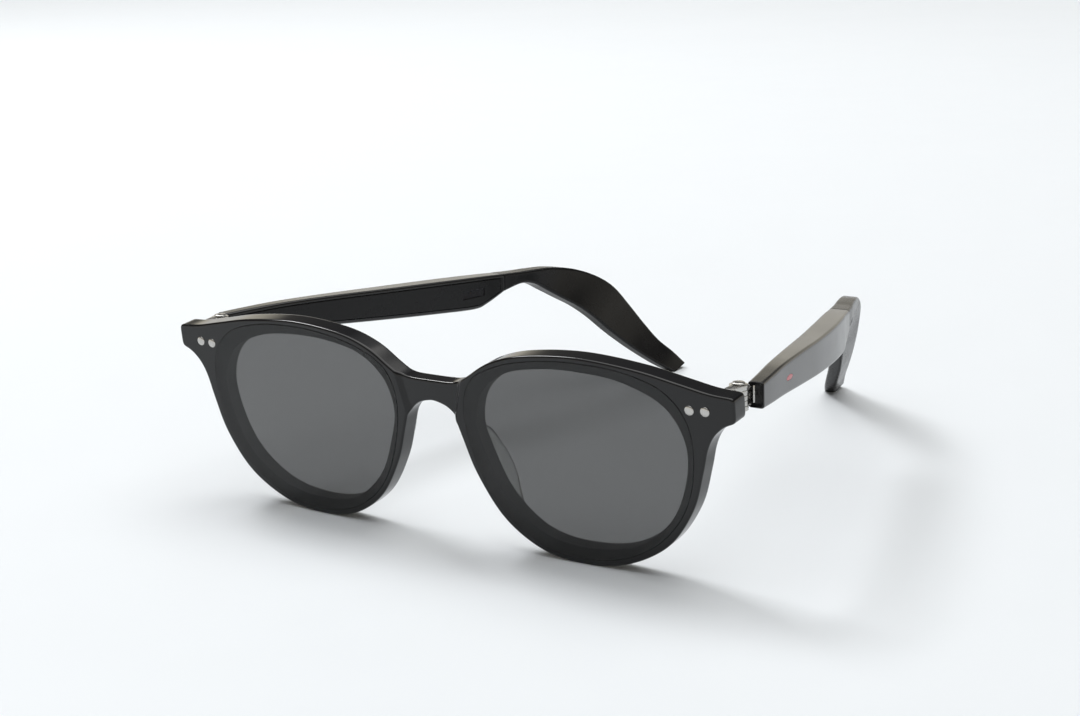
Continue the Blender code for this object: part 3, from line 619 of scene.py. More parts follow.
def printed_traces(tree, place, base):
    """A pattern: tracks 0.35 mm wide and 1.2 mm apart, lighter green under their coating."""
    straight = add(tree, "ShaderNodeTexWave", {"Vector": place, "Scale": 260.0,
                                               "Distortion": 3.0, "Detail": 1.0},
                   bands_direction="Z")
    ramp = add(tree, "ShaderNodeMapRange", {"Value": straight.outputs["Fac"], "From Min": 0.75,
                                            "From Max": 0.85})
    return add(tree, "ShaderNodeMix", {"Factor": ramp.outputs["Result"], "A": base,
                                       "B": linear("3F8A55")}, data_type="RGBA").outputs["Result"]


def coil_turns(tree, place, base):
    """A pattern: the turns of flat copper wire, 0.8 mm apart."""
    rings = add(tree, "ShaderNodeTexWave", {"Vector": place, "Scale": 390.0}, bands_direction="Z")
    return add(tree, "ShaderNodeMix", {"Factor": rings.outputs["Fac"], "A": linear("5A2E18"),
                                       "B": base}, data_type="RGBA").outputs["Result"]


# For each slot: the material's name, a tint's name or a hex colour, and surface's other values.
FINISHES = {
    # Cellulose acetate, cut from sheet, tumbled and buffed: deep black gloss with a very
    # slight waviness, so reflections are clear but not quite straight.
    "black_acetate": ("buffed_black_acetate", "acetate", (0.09, 0.14, 6.0), mottled(0.15, 9.0),
                      (9.0, 0.003), {"IOR": 1.46}),
    # The same sheet where it is only milled, round the inside of the openings: dull black.
    "milled_acetate": ("milled_black_acetate", "acetate", (0.45, 0.6, 1.0), mottled(0.15, 3.0),
                       (0.4, 0.002), {"IOR": 1.30}),
    # The same acetate without pigment: clear, with a shine a little softer than glass.
    "clear_acetate": ("clear_acetate_nose_pad", "E6E8E6", (0.06, 0.12, 3.0), None, None,
                      {"IOR": 1.48, "Transmission Weight": 1.0}),
    # Cast nylon lens, grey tint, hard coated: see-through dusk with clear reflections.
    "tinted_lens": ("tinted_nylon_lens", "lens", (0.03, 0.05, 12.0), None, None,
                    {"IOR": 1.50, "Alpha": 0.665}),
    # Stainless steel, machined and tumbled: bright, with hairlines that blur reflections.
    "polished_steel": ("tumbled_stainless_steel", "steel", (0.18, 0.30, 0.8), fine_hairs,
                       (0.15, 0.004), {"Metallic": 1.0}),
    # Nylon, injection moulded and lacquered: black gloss with a soft orange peel.
    "moulded_nylon": ("lacquered_moulded_nylon", "nylon", (0.17, 0.21, 5.0), mottled(0.15, 7.0),
                      (1.4, 0.0008), {"IOR": 1.49}),
    # The same nylon with a finer mould texture: a softer gloss where it is handled.
    "soft_tip": ("satin_moulded_nylon", "nylon", (0.24, 0.29, 4.0), mottled(0.15, 6.0),
                 (1.2, 0.0005), {"IOR": 1.50, "Specular IOR Level": 0.25}),
    # Glass epoxy under solder mask: glossy green with slightly lighter tracks.
    "board_green": ("solder_masked_board", "0F4A2A", (0.3, 0.4, 0.5), printed_traces),
    # Aluminium laminate pouch: bright foil with soft crumples.
    "cell_foil": ("aluminium_laminate_foil", "C4C6C9", (0.28, 0.42, 1.0), mottled(0.08, 2.0),
                  (1.6, 0.05), {"Metallic": 1.0}),
    # Glass filled ABS: dull black driver housing.
    "driver_black": ("moulded_abs_housing", "232326", (0.4, 0.55, 0.4), mottled(0.2, 1.0),
                     (0.2, 0.01)),
    # Blackened stainless wire, woven: dark metal that glints on each wire.
    "woven_steel": ("blackened_woven_steel", "5A5A5D", (0.3, 0.45, 0.2), mottled(0.2, 0.4), None,
                    {"Metallic": 1.0}),
    # Polyimide film: clear amber, with green tracks.
    "flex_amber": ("polyimide_flex", "B4691C", (0.25, 0.35, 0.6), printed_traces),
    # Enamelled copper strip: warm bright turns.
    "coil_copper": ("enamelled_copper_coil", "D88A52", (0.25, 0.35, 0.5), coil_turns, None,
                    {"Metallic": 1.0}),
    # Translucent polycarbonate over a small red lamp that glows faintly.
    "light_window": ("red_light_window", "8C3A40", (0.25, 0.35, 1.0), mottled(0.1, 0.5), None,
                     {"Emission Color": linear("C0505A"), "Emission Strength": 0.25}),
}


def finish_of(slot):
    """The material for a slot of the record, or for the front's milled walls, made once."""
    name, base, *rest = FINISHES[slot]
    tints = bpy.context.scene.glasses_finishes
    return surface(name, (*getattr(tints, base), 1.0) if hasattr(tints, base) else linear(base),
                   *rest)


# ---------------------------------------------------------------- front

def bridge_depth(across, up, setback):
    """How far the front face lies back at one point: the bridge's step with its slanted flank."""
    edge = BRIDGE_WIDTH + BRIDGE_SPREAD * (up - BRIDGE_WIDTH_AT)
    share = (edge + FLANK_OUT - abs(across)) / (FLANK_OUT - FLANK_IN)
    share = min(1.0, max(0.0, share))
    eased = share * share * (3 - 2 * share)
    return setback * (0.6 * share + 0.4 * eased)


def front_mesh(sizes):
    """The whole front: outer edge, lens seats, openings and rivet holes as one closed surface."""
    spacing, edge, setback = (v / MM for v in (sizes.spacing, sizes.edge_round,
                                               sizes.bridge_setback))
    bm = bmesh.new()
    back = FRONT_THICKNESS

    def front_point(p, depth=0.0):
        return on_front(p.x, p.y, depth + bridge_depth(p.x, p.y, setback))

    def flat_point(p, depth):
        return on_front(p.x, p.y, depth)

    def ring(outline, distance, depth, place):
        points = inset(outline, distance) if distance else outline
        return points, [bm.verts.new(place(p, depth)) for p in points]

    def wall(outline, sign, front_radius, back_radius, start, end, place, finish=0):
        """Rings from the front face round the edge, along the wall and onto the back face."""
        made = len(bm.faces)
        rings = [ring(outline, sign * (front_radius + FACE_BAND), start, place)]
        rings += [ring(outline, sign * s, start + d, place) for s, d in quarter(front_radius)]
        rings.append(ring(outline, 0, start + front_radius + WALL_BAND, place))
        rings.append(ring(outline, 0, end - back_radius - WALL_BAND, flat_point))
        rings += [ring(outline, sign * s, end - d, flat_point)
                  for s, d in reversed(quarter(back_radius))]
        rings.append(ring(outline, sign * (back_radius + FACE_BAND), end, flat_point))
        join_loops(bm, [verts for _, verts in rings])
        bm.faces.ensure_lookup_table()
        for face in bm.faces[made:]:
            face.material_index = finish
        return rings[0], rings[-1]

    outer_front, outer_back = wall(front_outline(spacing), 1, edge, BACK_ROUND, 0.0, back,
                                   front_point)
    front_loops, back_loops = [outer_front], [outer_back]
    for side in SIDES.values():
        seat = inset(side_outline(LENS_EDGE, side, spacing), -LENS_GAP)
        opening = side_outline(OPENING_EDGE, side, spacing)
        rings = [ring(seat, -SEAT_BAND, 0.0, front_point)]
        rings += [ring(seat, -s, d, front_point) for s, d in quarter(SEAT_ROUND, 3)]
        rings += [ring(seat, 0, depth, flat_point) for depth in (SEAT_FLOOR - 0.1, SEAT_FLOOR)]
        join_loops(bm, [verts for _, verts in rings])
        front_loops.append(rings[0])
        rim_front, rim_back = wall(opening, -1, OPENING_ROUND, OPENING_BACK_ROUND, SEAT_FLOOR,
                                   back, flat_point, MILLED)
        back_loops.append(rim_back)
        fill_between(bm, [rings[-1], rim_front], None, None)
        for across, up in RIVET_PLACES:
            hole = [Vector((across * side + RIVET_HOLE * cos(2 * pi * k / 24),
                            up + RIVET_HOLE * sin(2 * pi * k / 24))) for k in range(24)]
            low, high = ring(hole, 0, 0.0, front_point), ring(hole, 0, back, flat_point)
            join_loops(bm, [low[1], high[1]])
            front_loops.append(low)
            back_loops.append(high)
    flank = [(side * (BRIDGE_WIDTH + BRIDGE_SPREAD * (up - BRIDGE_WIDTH_AT) + out), up)
             for side in (-1, 1) for up in np.arange(4.0, 15.0, 0.5)
             for out in (1.2, FLANK_OUT, 0.6, 0.3, 0.0, FLANK_IN, -0.6)]
    middle = [(x, y) for x in np.arange(-4.5, 4.6, 1.5) for y in np.arange(6.5, 15.0, 1.0)]
    ends = [(s * x, y) for s in (-1, 1) for x in np.arange(52, 72, 1.7)
            for y in np.arange(5.0, 20.0, 1.7)]
    fill_between(bm, front_loops, flank + middle + ends, front_point)
    fill_between(bm, back_loops, middle + ends, lambda p: flat_point(p, back))
    return bm


def lens_mesh(side, sizes):
    """A flat lens with a rounded front edge."""
    spacing, edge = sizes.spacing / MM, sizes.lens_edge / MM
    outline = inset(side_outline(LENS_EDGE, side, spacing), LENS_FIT - LENS_GAP)
    front, back = -LENS_PROUD, LENS_THICKNESS - LENS_PROUD
    levels = [(edge + 0.15, front)] + [(s, front + d) for s, d in quarter(edge)]
    levels += [(0, back - 0.1)] + [(s, back - d) for s, d in reversed(quarter(LENS_BACK_ROUND, 2))]
    rings = [[on_front(p.x, p.y, depth) for p in (inset(outline, gap) if gap else outline)]
             for gap, depth in levels + [(LENS_BACK_BAND, back)]]
    return loft(rings)


def pad_mesh(side):
    """A nose pad, blended at both ends, with its long edges resting on the front's back."""
    base = FRONT_THICKNESS + FIT_GAP
    stations = [(*station, edge[0]) for station, edge in zip(PAD_STATIONS, PAD_INNER_EDGE)]
    tracks = [curve_through([(row[0], row[k]) for row in stations], 6) for k in (1, 2, 3)]
    rows = [(h.x, h.y, f.y, e.y) for h, f, e in zip(*tracks)]
    rings = []
    for i, (up, height, flare, inner) in enumerate(rows):
        crown = [(PAD_WIDTH, 0.0), (PAD_WIDTH + 0.5 * flare, 0.55 * height),
                 (PAD_WIDTH + 0.7 * flare, 0.85 * height), (0.7 * PAD_WIDTH + flare, height),
                 (0.35 * PAD_WIDTH + flare, 0.93 * height), (0.55 * flare, 0.5 * height),
                 (0.0, 0.0)]
        section = curve_through(crown, 5) + [Vector((x * PAD_WIDTH, 0)) for x in (0.25, 0.5, 0.75)]
        ends = min(i, len(rows) - 1 - i)
        if ends < PAD_END_ROWS:
            shrink = sin(pi / 2 * (ends + 0.35) / (PAD_END_ROWS + 0.35))
            centre = Vector((PAD_WIDTH / 2, 0))
            section = [centre + Vector(((p.x - centre.x) * (0.45 + 0.55 * shrink), p.y * shrink))
                       for p in section]
        rings.append([on_front((inner + p.x) * side, up, base + max(0.0, p.y)) for p in section])
    return loft(rings)


def open_tree(name, sizes):
    """An empty geometry node tree with a named input for each size, and what it is given."""
    tree = bpy.data.node_groups.new(name, "GeometryNodeTree")
    sockets = [("Geometry", "INPUT", "Geometry"), *((size, "INPUT", "Float") for size in sizes),
               ("Material", "INPUT", "Material"), ("Geometry", "OUTPUT", "Geometry")]
    for label, way, kind in sockets:
        tree.interface.new_socket(label, in_out=way, socket_type="NodeSocket" + kind)
    return tree, add(tree, "NodeGroupInput").outputs


def close_tree(tree, given, shape):
    """The tree with its end: the shape made real, in the material it is given."""
    real = add(tree, "GeometryNodeRealizeInstances", {"Geometry": shape})
    coated = add(tree, "GeometryNodeSetMaterial",
                 {"Geometry": real, "Material": given["Material"]})
    add(tree, "NodeGroupOutput", {"Geometry": coated})
    return tree


def fastener_tree():
    """Geometry nodes: a domed head and a shank at every point, along the point's aim."""
    tree, given = open_tree("domed_fastener", ("Head Radius", "Head Height", "Shank Radius",
                                               "Shank Length"))
    ball = add(tree, "GeometryNodeMeshUVSphere", {"Segments": 40, "Rings": 24, "Radius": 1.0})
    size = add(tree, "ShaderNodeCombineXYZ", {"X": given["Head Radius"], "Y": given["Head Radius"],
                                              "Z": given["Head Height"]})
    dome = add(tree, "GeometryNodeTransform", {"Geometry": ball, "Scale": size})
    where = add(tree, "GeometryNodeInputPosition")
    parts = add(tree, "ShaderNodeSeparateXYZ", {"Vector": where}).outputs
    height = add(tree, "ShaderNodeMath", {0: parts["Z"], 1: -HEAD_RIM * MM}, operation="MAXIMUM")
    flat = add(tree, "ShaderNodeCombineXYZ", {"X": parts["X"], "Y": parts["Y"], "Z": height})
    head = add(tree, "GeometryNodeSetPosition", {"Geometry": dome, "Position": flat})
    rod = add(tree, "GeometryNodeMeshCylinder", {"Vertices": 24, "Radius": given["Shank Radius"],
                                                 "Depth": given["Shank Length"]})
    half = add(tree, "ShaderNodeMath", {0: given["Shank Length"], 1: -0.5}, operation="MULTIPLY")
    drop = add(tree, "ShaderNodeMath", {0: half, 1: -SHANK_DROP * MM}, operation="ADD")
    down = add(tree, "ShaderNodeCombineXYZ", {"Z": drop})
    shank = add(tree, "GeometryNodeTransform", {"Geometry": rod, "Translation": down})
    both = add(tree, "GeometryNodeJoinGeometry", {"Geometry": [shank, head]})
    aim = add(tree, "GeometryNodeInputNamedAttribute", {"Name": "aim"}, data_type="FLOAT_VECTOR")
    turn = add(tree, "FunctionNodeAlignRotationToVector", {"Vector": aim}, axis="Z")
    spread = add(tree, "GeometryNodeInstanceOnPoints",
                 {"Points": given["Geometry"], "Instance": both, "Rotation": turn})
    return close_tree(tree, given, spread)


def weave_tree():
    """Geometry nodes: a plain weave of round wires, filling a length by a height."""
    tree, given = open_tree("woven_wire", ("Length", "Height", "Pitch", "Wire Radius"))
    pitch, radius = given["Pitch"], given["Wire Radius"]
    wires = []
    for own, other, run, span, sign in (("X", "Y", given["Length"], given["Height"], 1.0),
                                        ("Y", "X", given["Height"], given["Length"], -1.0)):
        start, reach = (add(tree, "ShaderNodeMath", {0: run, 1: share}, operation="MULTIPLY")
                        for share in (-0.5, 0.5))
        low, high = (add(tree, "ShaderNodeCombineXYZ", {own: end}) for end in (start, reach))
        line = add(tree, "GeometryNodeCurvePrimitiveLine", {"Start": low, "End": high})
        turns = add(tree, "ShaderNodeMath", {0: run, 1: pitch}, operation="DIVIDE")
        points = add(tree, "ShaderNodeMath", {0: turns, 1: 4.0, 2: 1.0}, operation="MULTIPLY_ADD")
        fine = add(tree, "GeometryNodeResampleCurve", {"Curve": line, "Count": points})
        rows = add(tree, "ShaderNodeMath", {0: span, 1: pitch}, operation="DIVIDE")
        half = add(tree, "ShaderNodeMath", {0: rows, 1: 0.5}, operation="MULTIPLY")
        whole = add(tree, "ShaderNodeMath", {0: half}, operation="FLOOR")
        count = add(tree, "ShaderNodeMath", {0: whole, 1: 2.0, 2: 1.0}, operation="MULTIPLY_ADD")
        first = add(tree, "ShaderNodeMath", {0: whole, 1: pitch}, operation="MULTIPLY")
        back = add(tree, "ShaderNodeMath", {0: first, 1: -1.0}, operation="MULTIPLY")
        origin = add(tree, "ShaderNodeCombineXYZ", {other: back})
        step = add(tree, "ShaderNodeCombineXYZ", {other: pitch})
        places = add(tree, "GeometryNodeMeshLine",
                     {"Count": count, "Start Location": origin, "Offset": step})
        spread = add(tree, "GeometryNodeInstanceOnPoints", {"Points": places, "Instance": fine})
        real = add(tree, "GeometryNodeRealizeInstances", {"Geometry": spread})
        where = add(tree, "GeometryNodeInputPosition")
        parts = add(tree, "ShaderNodeSeparateXYZ", {"Vector": where}).outputs
        waves = []
        for axis in ("X", "Y"):
            turn = add(tree, "ShaderNodeMath", {0: parts[axis], 1: pitch}, operation="DIVIDE")
            angle = add(tree, "ShaderNodeMath", {0: turn, 1: pi}, operation="MULTIPLY")
            waves.append(add(tree, "ShaderNodeMath", {0: angle}, operation="COSINE"))
        height = add(tree, "ShaderNodeMath", dict(enumerate(waves)), operation="MULTIPLY")
        rise = add(tree, "ShaderNodeMath", {0: height, 1: radius}, operation="MULTIPLY")
        signed = add(tree, "ShaderNodeMath", {0: rise, 1: WIRE_RISE * sign}, operation="MULTIPLY")
        lift = add(tree, "ShaderNodeCombineXYZ", {"Z": signed})
        waved = add(tree, "GeometryNodeSetPosition", {"Geometry": real, "Offset": lift})
        circle = add(tree, "GeometryNodeCurvePrimitiveCircle", {"Resolution": 6, "Radius": radius})
        wires.append(add(tree, "GeometryNodeCurveToMesh",
                         {"Curve": waved, "Profile Curve": circle, "Fill Caps": True}))
    both = add(tree, "GeometryNodeJoinGeometry", {"Geometry": wires})
    return close_tree(tree, given, both)


def grown(tree, seed, **values):
    """The mesh that a geometry node tree makes from a seed mesh, with its inputs set."""
    obj = linked("seed", seed)
    modifier = obj.modifiers.new("grow", "NODES")
    modifier.node_group = tree
    for item in tree.interface.items_tree:
        if item.in_out == "INPUT" and item.name.replace(" ", "_") in values:
            modifier[item.identifier] = values[item.name.replace(" ", "_")]
    bm = bmesh_of(applied(obj))
    bpy.data.objects.remove(obj)
    return bm


def seed_points(points, aims):
    """A mesh of points that each know which way they aim."""
    mesh = bpy.data.meshes.new("points")
    mesh.from_pydata([tuple(p) for p in points], [], [])
    aim = mesh.attributes.new("aim", "FLOAT_VECTOR", "POINT")
    for item, value in zip(aim.data, aims):
        item.vector = value
    return mesh


# ---------------------------------------------------------------- temple

def temple_ring(row, trim=(0.0, 0.0, 0.0), corner=0.7, steps=6, support=0.12):
    """The rounded section at one row, trimmed by (top and bottom, outer face, inner face)."""
    y_top, z_top, y_low, z_low, outer, thickness = row
    top, low = Vector((y_top, z_top)), Vector((y_low, z_low))
    rise = (top - low).normalized()
    top, low = top - rise * trim[0], low + rise * trim[0]
    x_out, x_in = outer - trim[1], outer - thickness + trim[2]
    height = (top - low).length
    corner = min(corner, 0.49 * height, 0.49 * (x_out - x_in))
    points = []
    for x, h, turn in ((x_out, height, 0), (x_in, height, 1), (x_in, 0, 2), (x_out, 0, 3)):
        centre = (x + corner * (-1 if x == x_out else 1), h + corner * (-1 if h else 1))
        arc = [(centre[0] + corner * cos(a), centre[1] + corner * sin(a))
               for a in ((turn + k / steps) * pi / 2 for k in range(steps + 1))]
        first, last = Vector(arc[0]), Vector(arc[-1])
        before = Vector((sin(turn * pi / 2), -cos(turn * pi / 2))) * support
        after = Vector((-cos(turn * pi / 2), -sin(turn * pi / 2))) * support
        for across, up in [tuple(first + before)] + arc + [tuple(last + after)]:
            place = low + rise * up
            points.append(Vector((across, place.x, place.y)))
    return points


def cavity_rows(gap=0.0):
    """The casing's sections along its cavity, a gap short of both its ends."""
    start, stop = CAVITY[0] + gap, CAVITY[1] - gap
    return [station_at(start + (stop - start) * k / 45) for k in range(46)]


def rounded_body(rows, corner, end_radius, ends=(True, True)):
    """Rings of a temple moulding, with the edges of its two ends rounded."""
    rings = [temple_ring(row, corner=corner) for row in rows]
    for which, flip in ((0, 1), (-1, -1)):
        if not ends[which]:
            continue
        row, near = rows[which], rows[which + flip]
        length = abs(near[0] - row[0])
        extra = [temple_ring(row_between(row, near, d / length), (s, s, s), corner)
                 for s, d in quarter(end_radius, 4)]
        extra.append(temple_ring(row_between(row, near, (end_radius + END_BAND) / length),
                                 corner=corner))
        extra.insert(0, temple_ring(row, (end_radius + END_BAND,) * 3, corner))
        if which == 0:
            rings = extra + rings[1:]
        else:
            rings = rings[:-1] + extra[::-1]
    return rings


def along_screw(point, along):
    """A point turned about Z, laid across the tongue with its height pointing outwards."""
    return in_casing((point.z, point.x + along, point.y), TONGUE_CENTRE)


def case_mesh(sizes, with_light):
    """The casing: outer face, top, bottom and ends, hollow behind its inner cover."""
    corner, end = sizes.corner_round / MM, sizes.end_round / MM
    rows = smooth_stations(CASE_STATIONS, sizes.rows)
    solid = loft(rounded_body(rows, corner, end))
    tools = [loft([temple_ring(row, (WALL, WALL, -2.0), 0.3, 3, 0.05) for row in cavity_rows()])]
    length, height, thickness = (size + 2 * FIT_GAP for size in TONGUE_SIZE)
    tools.append(moved(block((thickness, length, height)),
                       lambda p: in_casing(p, TONGUE_CENTRE)))
    for notch in NOTCHES:
        middle = Vector([(low + high) / 2 for low, high in notch])
        tools.append(moved(block([high - low for low, high in notch], 0.02),
                           lambda p: p + middle))
    radius = SCREW_RADIUS + FIT_GAP
    for along in TONGUE_SCREWS:
        hole = turned([(radius, 0), (radius, SCREW_REACH + 0.1)], 24)
        tools.append(moved(hole, lambda p: along_screw(p, along)))
    for centre, length, _ in PORTS.values():
        port = moved(block((PORT_WIDTH, length, 4.0), 0.1), lambda p: in_casing(p, centre))
        tools.append(moved(port, lambda p: p - Vector((0, 0, half_height(centre)))))
    if with_light:
        tools.append(light_window([(0.92, 0.1), (1.0, -0.1), (1.0, -2.0)], 0.05))
    return cut(solid, tools)


def light_window(profile, gap=0.0):
    """The status light's long window from (share of its size, depth) pairs, or a cutter for it."""
    centre, rise = LIGHT_PLACE
    half = station_at(centre)[5] / 2
    long, high = (size / 2 + gap for size in LIGHT_SIZE)
    disc = turned([(share, half + depth) for share, depth in profile], 40)
    return moved(disc, lambda p: in_casing((p.z, p.x * long, p.y * high + rise), centre))


def cover_mesh():
    """The inner cover, let into the casing, with the sound outlet near the ear."""
    rings = [temple_ring(row, (WALL + COVER_GAP, row[5] - COVER_THICKNESS, 0.0), 0.25, 4, 0.06)
             for row in cavity_rows(COVER_GAP)]
    centre, length, height = SOUND_OUTLET
    outlet = moved(block((6.0, length + 2 * FIT_GAP, height + 2 * FIT_GAP)),
                   lambda p: in_casing(p, centre, -3.0))
    return cut(loft(rings), [outlet])


def tip_mesh(sizes):
    """The ear tip, bent down behind the ear and inwards, with a domed end."""
    rows = smooth_stations(TIP_STATIONS, sizes.rows)
    start = CASE_STATIONS[-1][0] + JOINT_GAP
    rows[0] = (start, rows[0][1], start, *rows[0][3:])
    corner = sizes.corner_round / MM
    rings = rounded_body(rows, corner, sizes.end_round / MM, (True, False))
    end = rows[-1]
    nose = tuple(value + change for value, change in zip(end, TIP_DOME))
    for k in range(1, DOME_RINGS + 1):
        angle = pi / 2 * k / DOME_RINGS
        pull = DOME_PULL * (1 - cos(angle))
        trim = (pull, 0.7 * pull, 0.7 * pull)
        rings.append(temple_ring(row_between(end, nose, sin(angle)), trim, corner))
    return loft(rings)


# ---------------------------------------------------------------- stage

def lamp(name, kind, colour, power):
    """A light at the origin, shining down, and its settings."""
    light = bpy.data.lights.new(name, kind)
    light.color, light.energy = linear(colour)[:3], power
    return linked(name, light), light


def make_camera(studio):
    """The camera, looking down at the front from the wearer's left."""
    a, e = studio.azimuth, studio.elevation
    back = Vector((sin(a) * cos(e), -cos(a) * cos(e), sin(e)))
    level = Vector((cos(a), sin(a), 0))
    upright = back.cross(level)
    right = level * cos(studio.roll) - upright * sin(studio.roll)
    up = back.cross(right)
    data = bpy.data.cameras.new("camera")
    data.sensor_width, data.lens = 36.0, studio.focal
    camera = linked("camera", data)
    turn = Matrix((right, up, back)).transposed().to_4x4()
    camera.matrix_world = Matrix.Translation(AIM_POINT + back * studio.distance) @ turn
    bpy.context.scene.camera = camera


def make_floor(colour):
    """A wide pale table top, fine-grained and matt."""
    bm = bmesh.new()
    bmesh.ops.create_grid(bm, x_segments=8, y_segments=8, size=6.0)
    floor = linked("table_top", mesh_of("table_top", bm))
    floor.data.materials.append(surface(
        "matt_lacquered_table", (*colour, 1.0), (0.5, 0.6, 20.0), mottled(0.01, 120.0), None,
        {"Specular IOR Level": 0.2}))


def make_world():
    """A pale room: warm and bright at the horizon, dimmer above it, bright again overhead."""
    world = bpy.data.worlds.new("studio")
    bpy.context.scene.world = world
    world.use_nodes = True
    tree = world.node_tree
    way = add(tree, "ShaderNodeTexCoord").outputs["Generated"]
    height = add(tree, "ShaderNodeSeparateXYZ", {"Vector": way}).outputs["Z"]
    ramp = add(tree, "ShaderNodeValToRGB", {"Fac": height})
    stops = ramp.color_ramp.elements
    while len(stops) < len(SKY):
        stops.new(0.5)
    for stop, (place, colour) in zip(stops, SKY):
        stop.position, stop.color = place, linear(colour)
    back = tree.nodes["Background"]
    tree.links.new(ramp.outputs["Color"], back.inputs["Color"])
    back.inputs["Strength"].default_value = SKY_STRENGTH


# ---------------------------------------------------------------- operators and panel

class GLASSES_OT_front_frame(bpy.types.Operator):
    """Make the buffed acetate front with its lens seats and set-back bridge"""
    bl_idname = "glasses.front_frame"
    bl_label = "Front"

    def execute(self, context):
        front = piece("acetate_front", front_mesh(context.scene.glasses_front),
                      finish_of("black_acetate"), "front", ["front_frame"])
        front.data.materials.append(finish_of("milled_acetate"))
        return {"FINISHED"}


class GLASSES_OT_lenses(bpy.types.Operator):
    """Make the two tinted lenses that lie in the front's seats"""
    bl_idname = "glasses.lenses"
    bl_label = "Lenses"

    def execute(self, context):
        for tag, side in SIDES.items():
            piece(f"tinted_lens_{tag}", lens_mesh(side, context.scene.glasses_front),
                  finish_of("tinted_lens"), "front", [f"lens_{tag}"])
        return {"FINISHED"}


class GLASSES_OT_nose_pads(bpy.types.Operator):
    """Make the clear nose pads behind the front"""
    bl_idname = "glasses.nose_pads"
    bl_label = "Nose pads"

    def execute(self, context):
        for tag, side in SIDES.items():
            piece(f"clear_nose_pad_{tag}", pad_mesh(side), finish_of("clear_acetate"),
                  "front", [f"nose_pad_{tag}"])
        return {"FINISHED"}


class GLASSES_OT_fasteners(bpy.types.Operator):
    """Set the domed rivets in the end pieces and the screws inside the temples"""
    bl_idname = "glasses.fasteners"
    bl_label = "Rivets and screws"

    def execute(self, context):
        tree = fastener_tree()
        steel = finish_of("polished_steel")
        for tag, side in SIDES.items():
            places = [on_front(a * side, u, -0.04) for a, u in RIVET_PLACES]
            outwards = on_front(60 * side, 0, -1) - on_front(60 * side, 0, 0)
            rivets = grown(tree, seed_points(places, [outwards] * 2),
                           Head_Radius=RIVET_HEAD[0] * MM, Head_Height=RIVET_HEAD[1] * MM,
                           Shank_Radius=RIVET_SHANK * MM, Material=steel,
                           Shank_Length=(FRONT_THICKNESS + LEAF_THICKNESS + 0.4) * MM)
            piece(f"end_rivets_{tag}", rivets, steel, "front",
                  [f"rivet_inner_{tag}", f"rivet_outer_{tag}"])
            place = on_temple(side)
            head = -TONGUE_SIZE[2] / 2 - 0.05
            heads = [place(along_screw(Vector((0, 0, head)), at)) for at in TONGUE_SCREWS]
            inwards = [place(along_screw(Vector((0, 0, head - 1)), at)) - p
                       for at, p in zip(TONGUE_SCREWS, heads)]
            screws = grown(tree, seed_points(heads, inwards), Head_Radius=SCREW_HEAD[0] * MM,
                           Head_Height=SCREW_HEAD[1] * MM, Shank_Radius=SCREW_RADIUS * MM,
                           Shank_Length=(SCREW_REACH - head) * MM, Material=steel)
            piece(f"hinge_tongue_screws_{tag}", screws, steel, f"{tag}_temple",
                  [f"leaf_screw_front_{tag}", f"leaf_screw_rear_{tag}"])
        return {"FINISHED"}


class GLASSES_OT_hinges(bpy.types.Operator):
    """Make the steel hinge leaves and their slotted screws"""
    bl_idname = "glasses.hinges"
    bl_label = "Hinges"

    def execute(self, context):
        steel = finish_of("polished_steel")
        for tag, side in SIDES.items():
            for leaf in ("front_leaf", "temple_leaf"):
                refined(f"hinge_{leaf}_{tag}", f"steel_{leaf}_{tag}", LEAF_BEVEL, steel)
            slot = moved(block(PIN_SLOT, 0.02), lambda p: p + PIN_SLOT_AT)
            pin = moved(cut(turned(PIN_PROFILE), [slot]), lambda p: on_temple(side)(p + PIN))
            piece(f"slotted_hinge_screw_{tag}", pin, steel, "front",
                  [f"hinge_screw_{tag}"])
        return {"FINISHED"}


class GLASSES_OT_temples(bpy.types.Operator):
    """Make the lacquered temple casings and their inner covers"""
    bl_idname = "glasses.temples"
    bl_label = "Temples"

    def execute(self, context):
        sizes = context.scene.glasses_temple
        nylon = finish_of("moulded_nylon")
        for tag, side in SIDES.items():
            body = f"{tag}_temple"
            piece(f"moulded_casing_{tag}", moved(case_mesh(sizes, side > 0), on_temple(side)),
                  nylon, body, [f"temple_case_{tag}"])
            piece(f"moulded_inner_cover_{tag}", moved(cover_mesh(), on_temple(side)),
                  finish_of("soft_tip"), body, [f"temple_cover_{tag}"])
        return {"FINISHED"}


class GLASSES_OT_ear_tips(bpy.types.Operator):
    """Make the bent ear tips"""
    bl_idname = "glasses.ear_tips"
    bl_label = "Ear tips"

    def execute(self, context):
        for tag, side in SIDES.items():
            piece(f"moulded_ear_tip_{tag}",
                  moved(tip_mesh(context.scene.glasses_temple), on_temple(side)),
                  finish_of("soft_tip"), f"{tag}_temple", [f"ear_tip_{tag}"])
        return {"FINISHED"}


